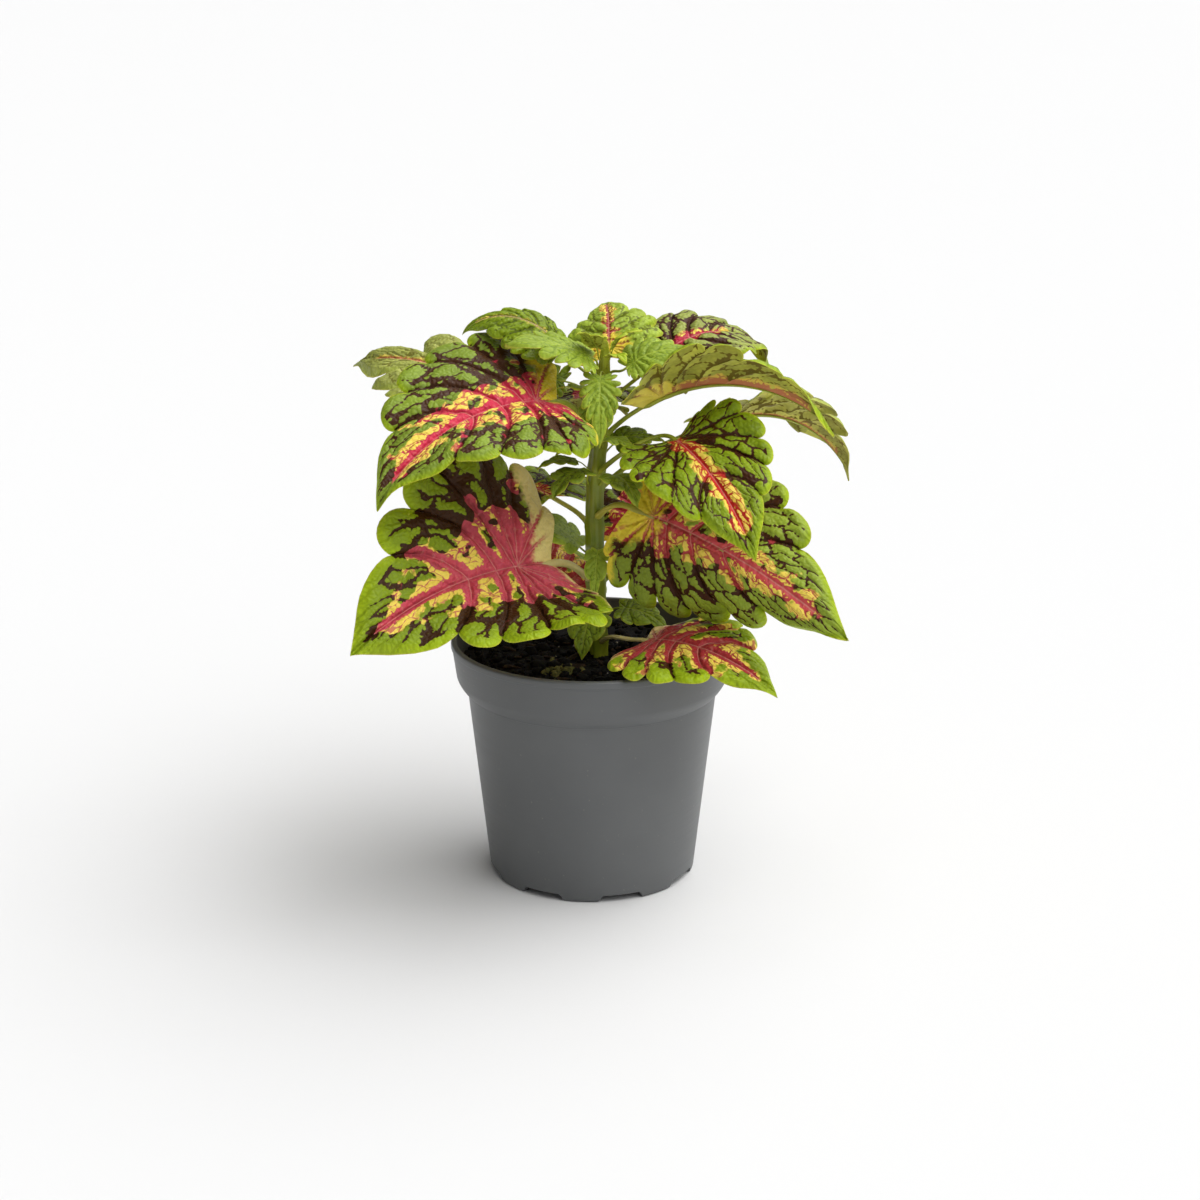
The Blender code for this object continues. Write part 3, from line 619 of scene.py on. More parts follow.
LEAVES = (
    LeafForm("leaf_rim_right", 102, 3, (22, -28, 111), 320, 70, Pattern.DUSKY, width=1.05, pitch=(14, -30),
        sway=1, roll=(12, 11), cup=(-22, 3), lobes=7, depth=0.06, stalk=Stalk.CREAM),
    LeafForm("leaf_rim_back", 105, 1, (-12, 18, 112), 115, 62, Pattern.DUSKY, width=0.95, pitch=(50, -5),
        depth=0.055),
    LeafForm("leaf_low_left", 130, 2, (-17, -18, 141), 216, 104, Pattern.RASPBERRY, width=1.27, pitch=(8, -29),
        sway=8, roll=(-39, -5), fold=(13, 18), cup=(33, 15), ear=(0, -45), depth=0.065, stalk=Stalk.CREAM,
        fan=0.16, fan_share=0.46),
    LeafForm("leaf_low_back_right", 127, 0, (20, 18, 144), 62, 80, Pattern.FLAME, width=0.95, pitch=(42, -35),
        sway=-5),
    LeafForm("leaf_low_right", 157, 3, (17, -16, 164), 329, 110, Pattern.STREAKED, width=0.9, pitch=(-11, -30),
        sway=-8, roll=(46, 14), fold=(-3, -34), cup=(-15, -34), ear=(0, 35), depth=0.06, stalk=Stalk.YELLOW),
    LeafForm("leaf_low_back_left", 150, 1, (-18, 20, 160), 135, 86, Pattern.NETTED, width=0.95, pitch=(15, -45),
        stalk=Stalk.YELLOW),
    LeafForm("leaf_mid_left", 192, 2, (-15, -12, 208), 210, 97, Pattern.FLAME, width=1.13, pitch=(9, -49),
        sway=15, roll=(-17, 17), fold=(9, 16), cup=(-23, -5)),
    LeafForm("leaf_arched_back", 168, 0, (54, 32, 189.5), 31, 86, Pattern.MUTED, width=0.84, pitch=(12, -63),
        roll=(-5, 25), fold=(0, 30), cup=(-10, 0), depth=0.06, lean=0.05),
    LeafForm("leaf_mid_right", 176, 3, (34, -16, 193), 298, 73, Pattern.NETTED, width=0.98, pitch=(-8, -53),
        sway=4, roll=(15, 9), fold=(8, 3), cup=(6, 16), ear=(45, 0), fan=0.03, fan_share=0.62),
    LeafForm("leaf_far_left", 184, 1, (-36, 20, 203), 152, 88, Pattern.MUTED, width=0.95, pitch=(24, -18),
        sway=-14, roll=(-3, -20), fold=(0, 5), cup=(-8, -9), lobes=7, depth=0.11, lean=0.06),
    LeafForm("leaf_mid_back", 192, 1, (-2, 20, 203), 101, 66, Pattern.OPEN_NET, width=0.9, pitch=(10, -62),
        fold=(-6, 0)),
    LeafForm("leaf_arched_right", 190, 0, (22, -6, 205), 2, 86, Pattern.ARCHED, width=0.9, pitch=(31, -44),
        sway=-24, roll=(0, -8), fold=(2, 40), cup=(-27, 0), ear=(0, -40), lean=0.03),
    LeafForm("leaf_top_left", 210, 1, (-13, 5, 227), 163, 51, Pattern.SHADED, width=0.85, pitch=(52, -45),
        sway=-8, roll=(-8, -18), fold=(-10, -2), cup=(-25, -40)),
    LeafForm("leaf_top_right", 204, 0, (27, 13, 220), 22, 68, Pattern.OPEN_NET, width=0.9, pitch=(41, -57),
        sway=21, roll=(8, 8), fold=(10, 0), cup=(-16, -8)),
    LeafForm("leaf_top_back", 213, 1, (7, 8, 223), 88, 49, Pattern.SPRING, width=1.1, pitch=(43, -8), sway=8,
        roll=(-8, -6), fold=(-7, 0), cup=(-20, -13), depth=0.07),
    LeafForm("young_leaf_left", 216, 2, (0, -6, 225), 197, 38, Pattern.FRESH, width=0.92, pitch=(30, -6),
        sway=-4, roll=(-10, -7), fold=(-5, 6), cup=(-16, -9), depth=0.11),
    LeafForm("young_leaf_dark", 203, 1, (-12, 9, 212), 176, 38, Pattern.DEEP, width=0.65, pitch=(10, -15),
        roll=(-40, 0), depth=0.11),
    LeafForm("young_leaf_right", 216, 0, (15, -7, 221.5), 4, 32, Pattern.FRESH, width=1.1, pitch=(40, -25),
        roll=(20, 0), fold=(5, 5), depth=0.11),
    LeafForm("young_leaf_front", 212, 3, (3.6, -11.5, 218.5), 268, 32, Pattern.FRESH, width=0.65,
        pitch=(-37, -87), fold=(5, 5), depth=0.11),
    LeafForm("bud_leaf_left", 222, 2, (2, -3.5, 228.5), 232, 16, Pattern.BUD, pitch=(60, 0), fold=(15, 15),
        lobes=4, depth=0.08),
    LeafForm("bud_leaf_right", 222, 0, (9, 0, 228), 350, 15, Pattern.BUD, pitch=(65, 0), fold=(15, 15), lobes=4,
        depth=0.08),
    LeafForm("bud_leaf_front", 219, 3, (8, -5, 225), 305, 12, Pattern.BUD, pitch=(35, -45), fold=(10, 10),
        lobes=4, depth=0.08),
    LeafForm("side_leaf_upper_front", 201, 2, (2.5, -7.5, 206), 262, 19, Pattern.FRESH, pitch=(-35, -80),
        **TINY),
    LeafForm("side_leaf_upper_left", 206, 2, (-1, -6, 212), 200, 14, Pattern.BUD, pitch=(15, -5), **TINY),
    LeafForm("side_leaf_mid_left", 185, 2, (-2, -6, 189), 215, 17, Pattern.FRESH, **TINY),
    LeafForm("side_leaf_mid_right", 170, 3, (9, -8, 176), 302, 23, Pattern.FRESH, width=0.95, pitch=(10, -65),
        **SMALL),
    LeafForm("side_leaf_mid_back", 182, 0, (10, 3, 187), 12, 24, Pattern.DEEP, pitch=(30, -40), roll=(15, 0),
        **SMALL),
    LeafForm("side_leaf_mid_front", 170, 2, (-3, -8, 178), 232, 24, Pattern.DEEP, pitch=(15, -60), **SMALL),
    LeafForm("side_leaf_low_left", 137, 1, (-6, 3, 143), 160, 30, Pattern.FRESH, pitch=(45, 10), **SMALL),
    LeafForm("side_leaf_root_left", 112, 2, (0, -7, 118), 252, 24, Pattern.DEEP, pitch=(-30, -75), **SMALL),
    LeafForm("side_leaf_low_front", 138, 3, (2.5, -6.5, 143), 262, 22, Pattern.FRESH, width=0.6,
        pitch=(-35, -85), **TINY),
    LeafForm("side_leaf_mid_far_left", 176, 2, (-7, -3, 181), 190, 17, Pattern.DEEP, pitch=(15, -35), **TINY),
    LeafForm("side_leaf_neck_right", 186, 3, (6, -6, 191), 318, 16, Pattern.FRESH, pitch=(20, -50), **TINY),
    LeafForm("side_leaf_neck_back", 198, 0, (8, 8, 202), 52, 14, Pattern.DEEP, pitch=(-12, -50), **TINY),
    LeafForm("side_leaf_root_right", 110, 0, (12, -3, 117), 343, 25, Pattern.DEEP, pitch=(5, -50), roll=(15, 0),
        **SMALL),
)


def smooth_curve(points: tuple, count: int) -> np.ndarray:
    """Evenly spaced points on a smooth curve through the given ones.

    Args:
        points: Points of any number of coordinates.
        count: How many points to return.

    Returns:
        An array of count points.
    """
    line = np.array(points, float)
    ends = np.vstack([2 * line[0] - line[1], line, 2 * line[-1] - line[-2]])
    share = np.linspace(0, 1, 40, endpoint=False)[:, None]
    parts = []
    for before, start, end, after in zip(ends, ends[1:], ends[2:], ends[3:]):
        bow = 2 * before - 5 * start + 4 * end - after
        turn = 3 * start - before - 3 * end + after
        parts.append(start + 0.5 * ((end - before) * share + bow * share ** 2 + turn * share ** 3))
    dense = np.vstack(parts + [line[-1:]])
    steps = np.linalg.norm(np.diff(dense, axis=0), axis=1)
    run = np.concatenate([[0], np.cumsum(steps)])
    wanted = np.linspace(0, run[-1], count)
    return np.stack([np.interp(wanted, run, dense[:, k]) for k in range(dense.shape[1])], axis=1)


def unit(vector: np.ndarray) -> np.ndarray:
    """The vector, or each of several, at length one."""
    return vector / np.maximum(np.linalg.norm(vector, axis=-1, keepdims=True), 1e-12)


def ripple(x: np.ndarray, y: np.ndarray, length: float, seed: int) -> np.ndarray:
    """Smooth irregular waves between about -1 and 1.

    Args:
        x: First coordinate.
        y: Second coordinate.
        length: Typical wavelength, in the units of x and y.
        seed: Chooses the waves.

    Returns:
        The height at each point.
    """
    draw = np.random.default_rng(seed)
    total = np.zeros_like(x)
    for _ in range(7):
        heading = draw.uniform(0, 2 * pi)
        pace = 2 * pi / (length * draw.uniform(0.7, 1.6))
        total = total + np.sin((x * cos(heading) + y * sin(heading)) * pace + draw.uniform(0, 2 * pi))
    return total / 3.0


def circle(count: int) -> np.ndarray:
    """Angles all the way round, in radians."""
    return np.linspace(0, 2 * pi, count, endpoint=False)


def level_ring(radius: float, height: float, angles: np.ndarray) -> list[Vector]:
    """Points at the given angles on a level circle about the Z axis."""
    return [Vector((radius * cos(a), radius * sin(a), height)) for a in angles]


def add_ring(mesh: bmesh.types.BMesh, points: object) -> list:
    """Add a vertex at each point, given in millimetres."""
    return [mesh.verts.new(point * MM) for point in points]


def join_rings(mesh: bmesh.types.BMesh, rings: list, slot: int = 0) -> None:
    """Put quads of one material slot between neighbouring rings of vertices."""
    for one, two in zip(rings, rings[1:]):
        for i in range(len(one)):
            j = (i + 1) % len(one)
            mesh.faces.new((one[i], one[j], two[j], two[i])).material_index = slot


def add_tube(mesh: bmesh.types.BMesh, rings: list, slot: int = 0) -> None:
    """Join rings of vertices and close both ends."""
    join_rings(mesh, rings, slot)
    for ring in (rings[0], rings[-1]):
        mesh.faces.new(ring).material_index = slot


def mesh_data(name: str, mesh: bmesh.types.BMesh) -> bpy.types.Mesh:
    """Turn a bmesh, which is used up, into mesh data."""
    data = bpy.data.meshes.new(name)
    mesh.to_mesh(data)
    mesh.free()
    return data


def placed(name: str, data: bpy.types.ID) -> bpy.types.Object:
    """Put an object with the given data into the scene."""
    made = bpy.data.objects.new(name, data)
    bpy.context.scene.collection.objects.link(made)
    return made


def shade(data: bpy.types.Mesh, sharp_angle: float) -> None:
    """Smooth the shading, but for edges sharper than an angle in degrees."""
    data.shade_smooth()
    data.set_sharp_from_angle(angle=radians(sharp_angle))


def finished_object(name: str, mesh: bmesh.types.BMesh, node: str, sharp_angle: float) -> bpy.types.Object:
    """Turn a bmesh into a piece that stands for a node of the frame.

    Args:
        name: The piece's name.
        mesh: The mesh, which is used up.
        node: The node it replaces.
        sharp_angle: Edges sharper than this, in degrees, stay sharp.

    Returns:
        The new object.
    """
    bmesh.ops.recalc_face_normals(mesh, faces=mesh.faces)
    data = mesh_data(name, mesh)
    shade(data, sharp_angle)
    piece = placed(name, data)
    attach(piece, "root")
    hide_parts(node)
    return piece


@dataclass
class Stem:
    """The square stem, swollen where the leaves leave it."""

    # height, place along X and along Y, and half width, in millimetres
    line: tuple = ((84, 2.5, 0.0, 3.7), (100, 2.5, 0.0, 3.6), (140, 1.3, 0.0, 3.4), (165, 1.3, 0.0, 3.2),
                   (192, 3.2, 0.5, 2.9), (214, 4.8, 1.0, 2.4), (226, 5.4, 1.5, 1.5), (232, 5.5, 1.5, 0.5))
    turn: float = 30.0                # direction of the first of its four faces, in degrees
    foot: float = 84.5
    rings: int = 180
    sides: int = 40
    joints: tuple = (103, 111, 128, 152, 171, 177, 187, 204, 213)
    joint_reach: float = 2.4          # how far a joint swells the stem, in millimetres
    swelling: float = 0.10            # at a joint, as a share of the half width
    groove: float = 0.05              # depth down the middle of each face, as a share
    twist: float = 0.012              # of the slight ridges that wind up it, as a share

    def at(self, height: float) -> tuple[np.ndarray, float]:
        """Centre and half width at a height, all in millimetres."""
        line = smooth_curve(self.line, 200)
        across, back, half = (float(np.interp(height, line[:, 0], line[:, k])) for k in (1, 2, 3))
        return np.array([across, back, height]), half

    def build(self) -> bpy.types.Object:
        """Build the stem as one closed mesh.

        Returns:
            The stem's object.
        """
        heights = np.linspace(self.foot, self.line[-1][0], self.rings)
        around = circle(self.sides)
        square = 1 / (np.abs(np.cos(around)) ** 5 + np.abs(np.sin(around)) ** 5) ** (1 / 5)
        groove = 1 - self.groove * np.exp(-(np.sin(2 * around) / 0.5) ** 2)
        rings = []
        for height in heights:
            centre, half = self.at(height)
            bumps = sum(np.exp(-((height - joint) / self.joint_reach) ** 2) for joint in self.joints)
            radius = half * (1 + self.swelling * min(bumps, 1.2)) * square * groove
            angle = around + radians(self.turn)
            radius = radius * (1 + self.twist * np.sin(3 * around + height * 0.35))
            rings.append(centre + np.stack([radius * np.cos(angle), radius * np.sin(angle), 0 * angle], axis=1))
        mesh = bmesh.new()
        add_tube(mesh, [add_ring(mesh, ring) for ring in rings])
        return finished_object("stem_skin", mesh, "stem", sharp_angle=60)

    def dress(self, piece: bpy.types.Object, finish: StalkFinish) -> None:
        """Give the stem its green skin."""
        piece.data.materials.append(finish.material())


@dataclass
class Leaf:
    """One leaf: a thin quilted blade with scalloped margins, its raised midrib and its petiole."""

    form: LeafForm
    stem: Stem
    thickness: float = 0.36           # of the blade, in millimetres
    tip_lobe: float = 0.24            # share of the half margin that the lobe at the tip takes
    lobe_growth: float = 1.2          # above 1, the other lobes grow larger towards the tip
    last_foot: float = 0.40           # where along the midrib the last side vein leaves it
    foot_power: float = 1.5
    bow: float = 0.11                 # how far the side veins bow out, as a share of their length
    sinus_share: float = 0.22         # share of the margin that lies beside the petiole
    half_width: float = 0.43          # of a standard blade one long
    ear_start: float = -0.08          # along the blade, where the basal lobes' own curl is full
    ear_reach: float = 0.5            # how far from there it fades out
    rows_per_lobe: int = 14
    columns: int = 30                 # on each side of the midrib
    puff: float = 1.5                 # how far the skin rises between the veins, in millimetres
    quilting: float = 0.4             # height of its lumps, in millimetres
    quilt_length: float = 6.5         # and their size
    wave: float = 1.7                 # height of the margin's slow waves, in millimetres
    wave_length: float = 30.0
    rolled: float = 1.3               # how far the margin rolls down, in millimetres
    sinus_reach: float = 14.0         # how far from the sinus the relief fades in, in millimetres
    vein_ridge: float = 0.35          # height of the side veins below, in millimetres
    weld: float = 0.004               # vertices nearer than this become one, in millimetres
    petiole_rise: float = 35.0        # degrees above level where it leaves the stem
    petiole_sunk: float = 0.6         # how far its root lies in the stem, in millimetres
    petiole_flat: float = 0.88        # its thickness as a share of its width
    petiole_rings: int = 22
    petiole_sides: int = 14
    outline: tuple = ((-0.012, 0.0), (-0.045, 0.10), (-0.075, 0.21), (-0.03, 0.33), (0.08, 0.405),
                      (0.23, 0.43), (0.40, 0.395), (0.58, 0.295), (0.74, 0.175), (0.88, 0.068), (1.0, 0.0))

    def frames(self, along: np.ndarray) -> tuple[np.ndarray, ...]:
        """Place, heading, left and up of the blade at shares of the midrib.

        Args:
            along: Shares of the midrib, 0 at the petiole and 1 at the tip.

        Returns:
            Four arrays of vectors; places are for a blade one long.
        """
        form = self.form
        grid = np.linspace(-0.3, 1, 200)
        share = np.clip(grid, -0.1, 1)
        rise = np.radians(form.pitch[0] + (form.pitch[1] - form.pitch[0]) * share)
        turn = np.radians(form.aim + form.sway * share)
        roll = np.radians(form.roll[0] + form.roll[1] * share)[:, None]
        ahead = np.stack([np.cos(rise) * np.cos(turn), np.cos(rise) * np.sin(turn), np.sin(rise)], axis=1)
        level = np.stack([-np.sin(turn), np.cos(turn), np.zeros_like(turn)], axis=1)
        above = np.cross(ahead, level)
        left = level * np.cos(roll) + above * np.sin(roll)
        up = above * np.cos(roll) - level * np.sin(roll)
        place = np.cumsum(ahead, axis=0) * (grid[1] - grid[0])

        def at(values: np.ndarray) -> np.ndarray:
            return np.stack([np.interp(along, grid, values[:, k]) for k in range(3)], axis=-1)

        origin = np.array([np.interp(0, grid, place[:, k]) for k in range(3)])
        return at(place) - origin, at(ahead), at(left), at(up)

    def bend(self, along: np.ndarray, across: np.ndarray) -> tuple[np.ndarray, np.ndarray]:
        """Bend the flat blade.

        Args:
            along: Flat places along the midrib, for a blade one long.
            across: Flat places across it, positive on the left.

        Returns:
            Points in millimetres, and the blade's normals there.
        """
        form = self.form
        place, _, left, up = self.frames(along)
        is_left = across >= 0
        side = np.where(is_left, 1.0, -1.0)
        start = np.radians(np.where(is_left, *form.fold))
        fade = np.clip(1 - (along - self.ear_start) / self.ear_reach, 0, 1) ** 2
        change = np.where(is_left, *form.cup) + np.where(is_left, *form.ear) * fade
        curl = np.radians(change) / (self.half_width * form.width)
        curl = np.where(np.abs(curl) < 1e-6, 1e-6, curl)
        slope = start + curl * np.abs(across)
        reach = side * (np.sin(slope) - np.sin(start)) / curl
        lift = (np.cos(start) - np.cos(slope)) / curl
        tilt = np.where(np.abs(across) < 1e-9, 0.0, side * slope)[..., None]
        normal = up * np.cos(tilt) - left * np.sin(tilt)
        point = place + reach[..., None] * left + lift[..., None] * up
        return np.array(form.base) + form.length * point, normal

    def rows(self) -> tuple[np.ndarray, np.ndarray, np.ndarray]:
        """Spread the rows over the lobes, densest beside the notches.

        Returns:
            For each row: its lobe as a number that is whole at the notches, its share of the half
            margin, and how far the margin is cut back there, as a share of the blade's length.
        """
        count = self.form.lobes
        steps = self.rows_per_lobe
        notches = np.append((1 - self.tip_lobe) * np.linspace(0, 1, count) ** self.lobe_growth, 1.0)
        turn = np.arange(count * steps + 1) / steps
        inner = turn - np.floor(turn)
        lobe = np.floor(turn) + (1 - np.cos(pi * inner)) / 2
        lobe[-1] = count
        cut = 1 - np.sin(pi * inner)
        share = np.interp(lobe, range(count + 1), notches)
        cut = cut * np.clip((share - 0.10) / 0.15, 0, 1) * self.form.depth
        return lobe, share, np.where(lobe > count - 0.5, 0.0, cut)

    def half_grid(self, side: int) -> dict[str, np.ndarray]:
        """Lay out one half of the flat blade.

        Rows run from the midrib along the side veins to the margin.

        Args:
            side: 1 for the left half and -1 for the right.

        Returns:
            Arrays over rows and columns: along and across for a blade one long, lobe and out (0 at
            the midrib, 1 at the margin), and the distances that the finish reads, in millimetres.
        """
        form = self.form
        draw = np.random.default_rng(number_of(form.name) + side + 1)
        lobe, share, cut = self.rows()
        wander = np.interp(lobe, np.arange(form.lobes + 1),
                           np.concatenate([[0], draw.uniform(-0.016, 0.016, form.lobes - 1), [0]]))
        deeper = np.interp(lobe, np.arange(form.lobes + 1), draw.uniform(1.0, 1.8, form.lobes + 1))
        lift = draw.uniform(-1.5, 1.2, form.lobes + 1)
        dense = smooth_curve(self.outline, 400) * (1, form.width)
        even = np.linspace(0, 1, 400)
        margin = np.stack([np.interp(share + wander, even, dense[:, k]) for k in (0, 1)], axis=1)
        foot = self.foot(share)
        start = np.stack([foot, np.zeros_like(foot)], axis=1)
        span = np.linalg.norm(margin - start, axis=1)
        margin = margin + (start - margin) * (cut * deeper / np.maximum(span, 0.1))[:, None]
        inner = np.sin(pi * (lobe - np.floor(lobe)))[:, None]
        margin = margin + unit(np.gradient(margin, axis=0)) * form.lean * inner ** 2
        out = np.linspace(0, 1, self.columns + 1)
        chord = margin - start
        flat = start[:, None] + chord[:, None] * out[None, :, None]
        bowed = 4 * self.bow * (out * (1 - out))[None, :] * np.clip((foot - self.form.fan) * 12, 0, 1)[:, None]
        flat[..., 0] -= bowed * chord[:, 1:]
        flat[..., 1] += bowed * chord[:, :1]
        veins = [flat[k * self.rows_per_lobe] for k in range(1, form.lobes)]
        nearest = np.min([self.distance(flat, vein) for vein in veins], axis=0) * form.length
        steps = np.linalg.norm(np.diff(flat, axis=1), axis=2)
        run = np.concatenate([np.zeros((len(flat), 1)), np.cumsum(steps, axis=1)], axis=1)
        sinus = flat[share <= self.sinus_share, -1]
        return {"along": flat[..., 0], "across": side * flat[..., 1],
                "lobe": np.repeat(lobe[:, None], len(out), axis=1),
                "out": np.repeat(out[None, :], len(lobe), axis=0),
                "run": run * form.length,
                "lift": inner * lift[np.floor(lobe).astype(int)][:, None] * out[None, :] ** 3,
                "side_vein": nearest, "midrib": np.abs(flat[..., 1]) * form.length,
                "margin": self.distance(flat, flat[:, -1]) * form.length,
                "sinus": self.distance(flat, sinus) * form.length,
                "share": np.clip(flat[..., 0], 0, 1)}

    def foot(self, share: np.ndarray) -> np.ndarray:
        """Where on the midrib the side vein starts that runs to each share of the half margin."""
        last = 1 - self.tip_lobe
        low = np.clip((share - self.form.fan_share) / (last - self.form.fan_share), 0, 1) ** self.foot_power
        high = np.clip((share - last) / self.tip_lobe, 0, 1)
        rise = (self.last_foot - self.form.fan) * low
        return self.form.fan + rise + (1 - self.last_foot) * (0.45 * high + 0.55 * high ** 2)

    def strips(self, grid: dict[str, np.ndarray]) -> np.ndarray:
        """Lay each strip between two side veins out straight.

        Args:
            grid: One half's layout, from half_grid.

        Returns:
            For the four corners of each quad, distance along the vein and from the strip's middle,
            in millimetres; each strip has a stretch of its own.
        """
        steps = self.rows_per_lobe
        flat = np.stack([grid["along"], grid["across"]], axis=-1) * self.form.length
        veins = flat[::steps]
        widths = np.linalg.norm(veins[1:] - veins[:-1], axis=2)
        rows = np.arange(len(flat) - 1)
        strip = rows // steps
        number = strip[:, None]
        inner, outer = slice(None, -1), slice(1, None)
        corners = []
        for shift, columns in ((0, inner), (0, outer), (1, outer), (1, inner)):
            share = grid["lobe"][rows + shift][:, columns] - number - 0.5
            apart = share * widths[strip][:, columns] + 61.0 * number
            run = grid["run"][rows + shift][:, columns] + 37.0 * number
            corners.append(np.stack([run, apart], axis=-1))
        return np.stack(corners, axis=2)

    def distance(self, points: np.ndarray, line: np.ndarray) -> np.ndarray:
        """Distance in the flat blade from each point to a line of points.

        Args:
            points: An array of rows and columns of points.
            line: The corners of the line.

        Returns:
            Distances, of the same rows and columns.
        """
        start, step = line[:-1], line[1:] - line[:-1]
        size = np.maximum((step ** 2).sum(axis=1), 1e-12)
        offset = points[:, :, None, :] - start
        share = np.clip((offset * step).sum(axis=3) / size, 0, 1)
        return np.sqrt(((offset - share[..., None] * step) ** 2).sum(axis=3).min(axis=2))

    def relief(self, grid: dict[str, np.ndarray]) -> np.ndarray:
        """Height of the blade's skin above its smooth bent form.

        Args:
            grid: One half's layout, from half_grid.

        Returns:
            Heights in millimetres.
        """
        size = min(self.form.length / 80.0, 1.0)
        seed = number_of(self.form.name) % 1000
        x = grid["along"] * self.form.length
        y = grid["across"] * self.form.length
        from_midrib = np.clip(grid["midrib"] / (3 * size), 0, 1)
        by_sinus = np.clip(grid["sinus"] / (self.sinus_reach * size), 0.15, 1)
        fade = from_midrib * by_sinus * np.clip(grid["margin"] / (2 * size), 0.3, 1)
        from_vein = np.minimum(grid["side_vein"] / (4.5 * size), 1)
        puffed = self.puff * size ** 1.8 * np.sin(from_vein * pi / 2) * fade
        quilt = self.quilting * size ** 1.5 * ripple(x, y, self.quilt_length * size, seed) * fade
        wave = self.wave * size ** 0.6 * ripple(x, y, self.wave_length * size, seed + 1) * grid["out"] ** 2
        at_margin = np.clip(1 - grid["margin"] / (4.0 * size), 0, 1)
        lobes = size * (grid["lift"] - self.rolled * at_margin ** 2)
        return puffed + quilt + wave + lobes * by_sinus

    def blade(self) -> bmesh.types.BMesh:
        """Build the closed blade with what its finish reads: distances, and its flat places.

        Returns:
            A new mesh, with material slot 0 on top and 1 underneath.
        """
        points, flats, values, faces, slots, strips = [], [], [], [], [], []
        total = 0
        for side in (1, -1):
            grid = self.half_grid(side)
            height = self.relief(grid)
            point, normal = self.bend(grid["along"], grid["across"])
            rim = np.clip(grid["margin"] / 0.8, 0, 1) ** 0.5
            near_vein = np.exp(-(grid["side_vein"] / 0.5) ** 2)
            ridge = self.vein_ridge * near_vein * np.clip(grid["midrib"] / 2, 0, 1) * rim
            half = self.thickness / 2 * (0.35 + 0.65 * rim)
            rows, columns = grid["lobe"].shape
            index = np.arange(rows * columns).reshape(rows, columns) + total
            low = index + rows * columns
            quads = np.stack([index[:-1, :-1], index[:-1, 1:], index[1:, 1:], index[1:, :-1]], axis=-1)
            quads = quads.reshape(-1, 4)
            edge = np.stack([index[:-1, -1], low[:-1, -1], low[1:, -1], index[1:, -1]], axis=-1)
            faces += [quads, quads[:, ::-1] + rows * columns, edge]
            slots += [0] * len(quads) + [1] * len(quads) + [0] * len(edge)
            laid = self.strips(grid)
            upper = laid.reshape(-1, 4, 2)
            strips += [upper, upper[:, ::-1], laid[:, -1][:, [1, 1, 2, 2]]]
            flat = np.stack([grid["along"].ravel(), grid["across"].ravel()], axis=-1)
            flat = flat * self.form.length / MAP_SCALE
            for offset in (height + half, height - half - ridge):
                points.append((point + normal * offset[..., None]).reshape(-1, 3) * MM)
                flats.append(flat)
                values.append(np.stack([grid[name].ravel() for name in CARRIED]))
            total += 2 * rows * columns
        data = bpy.data.meshes.new("blade")
        faces = np.vstack(faces)
        data.from_pydata(np.vstack(points).tolist(), [], faces.tolist())
        data.polygons.foreach_set("material_index", slots)
        for k, name in enumerate(CARRIED):
            layer = data.attributes.new(name, "FLOAT", "POINT")
            layer.data.foreach_set("value", np.concatenate([v[k] for v in values]))
        maps = {BLADE_MAP: np.vstack(flats)[faces.ravel()], STRIP_MAP: np.vstack(strips) / MAP_SCALE}
        for name, places in maps.items():
            data.uv_layers.new(name=name).data.foreach_set("uv", places.ravel())
        mesh = bmesh.new()
        mesh.from_mesh(data)
        bpy.data.meshes.remove(data)
        bmesh.ops.remove_doubles(mesh, verts=mesh.verts, dist=self.weld * MM)
        bmesh.ops.dissolve_degenerate(mesh, edges=mesh.edges, dist=self.weld / 2 * MM)
        bmesh.ops.recalc_face_normals(mesh, faces=mesh.faces)
        return mesh

    def stalk(self, mesh: bmesh.types.BMesh) -> None:
        """Add the petiole, which runs on under the blade as its raised midrib."""
        form = self.form
        face = radians(self.stem.turn + 90 * form.face)
        out = np.array([cos(face), sin(face), 0])
        centre, half = self.stem.at(form.height)
        root = centre + out * (half - self.petiole_sunk)
        rise = radians(self.petiole_rise)
        leave = out * cos(rise) + np.array([0, 0, sin(rise)])
        width = 0.012 * form.length * form.width + 0.1
        _, ahead, left, _ = self.frames(np.array([0.0]))
        end = np.array(form.base) - ahead[0] * 1.5 * width
        reach = 0.4 * np.linalg.norm(end - root)
        knots = (root, root + leave * reach, end - ahead[0] * reach, end)
        path, widths = [], []
        for share in np.linspace(0, 1, self.petiole_rings):
            rest = 1 - share
            weights = (rest ** 3, 3 * rest ** 2 * share, 3 * rest * share ** 2, share ** 3)
            path.append(sum(w * k for w, k in zip(weights, knots)))
            widths.append(width * (1.05 + 0.45 * rest ** 4))
        shares = np.linspace(0.015, 0.93, 40)
        place, normal = self.bend(shares, np.zeros_like(shares))
        keel = width * (0.95 * (1 - shares) ** 1.3 + 0.16)
        path += list(place - normal * (keel * 0.75)[:, None])
        widths += list(keel)
        path = np.array(path)
        heading = unit(np.gradient(path, axis=0))
        sideways = np.array([-out[1], out[0], 0])
        turns = circle(self.petiole_sides)
        dent = 1 - 0.22 * np.exp(-((turns - pi / 2) / 0.6) ** 2)
        rings = []
        for k, (middle, size) in enumerate(zip(path, widths)):
            share = min(k / self.petiole_rings, 1)
            lean = unit(sideways * (1 - share) + left[0] * share)
            lean = unit(lean - heading[k] * np.dot(lean, heading[k]))
            up = np.cross(heading[k], lean)
            flat = np.outer(np.cos(turns) * dent, lean) * size
            ring = middle + flat + np.outer(np.sin(turns) * dent, up) * size * self.petiole_flat
            rings.append(add_ring(mesh, ring))
        add_tube(mesh, rings, slot=2)

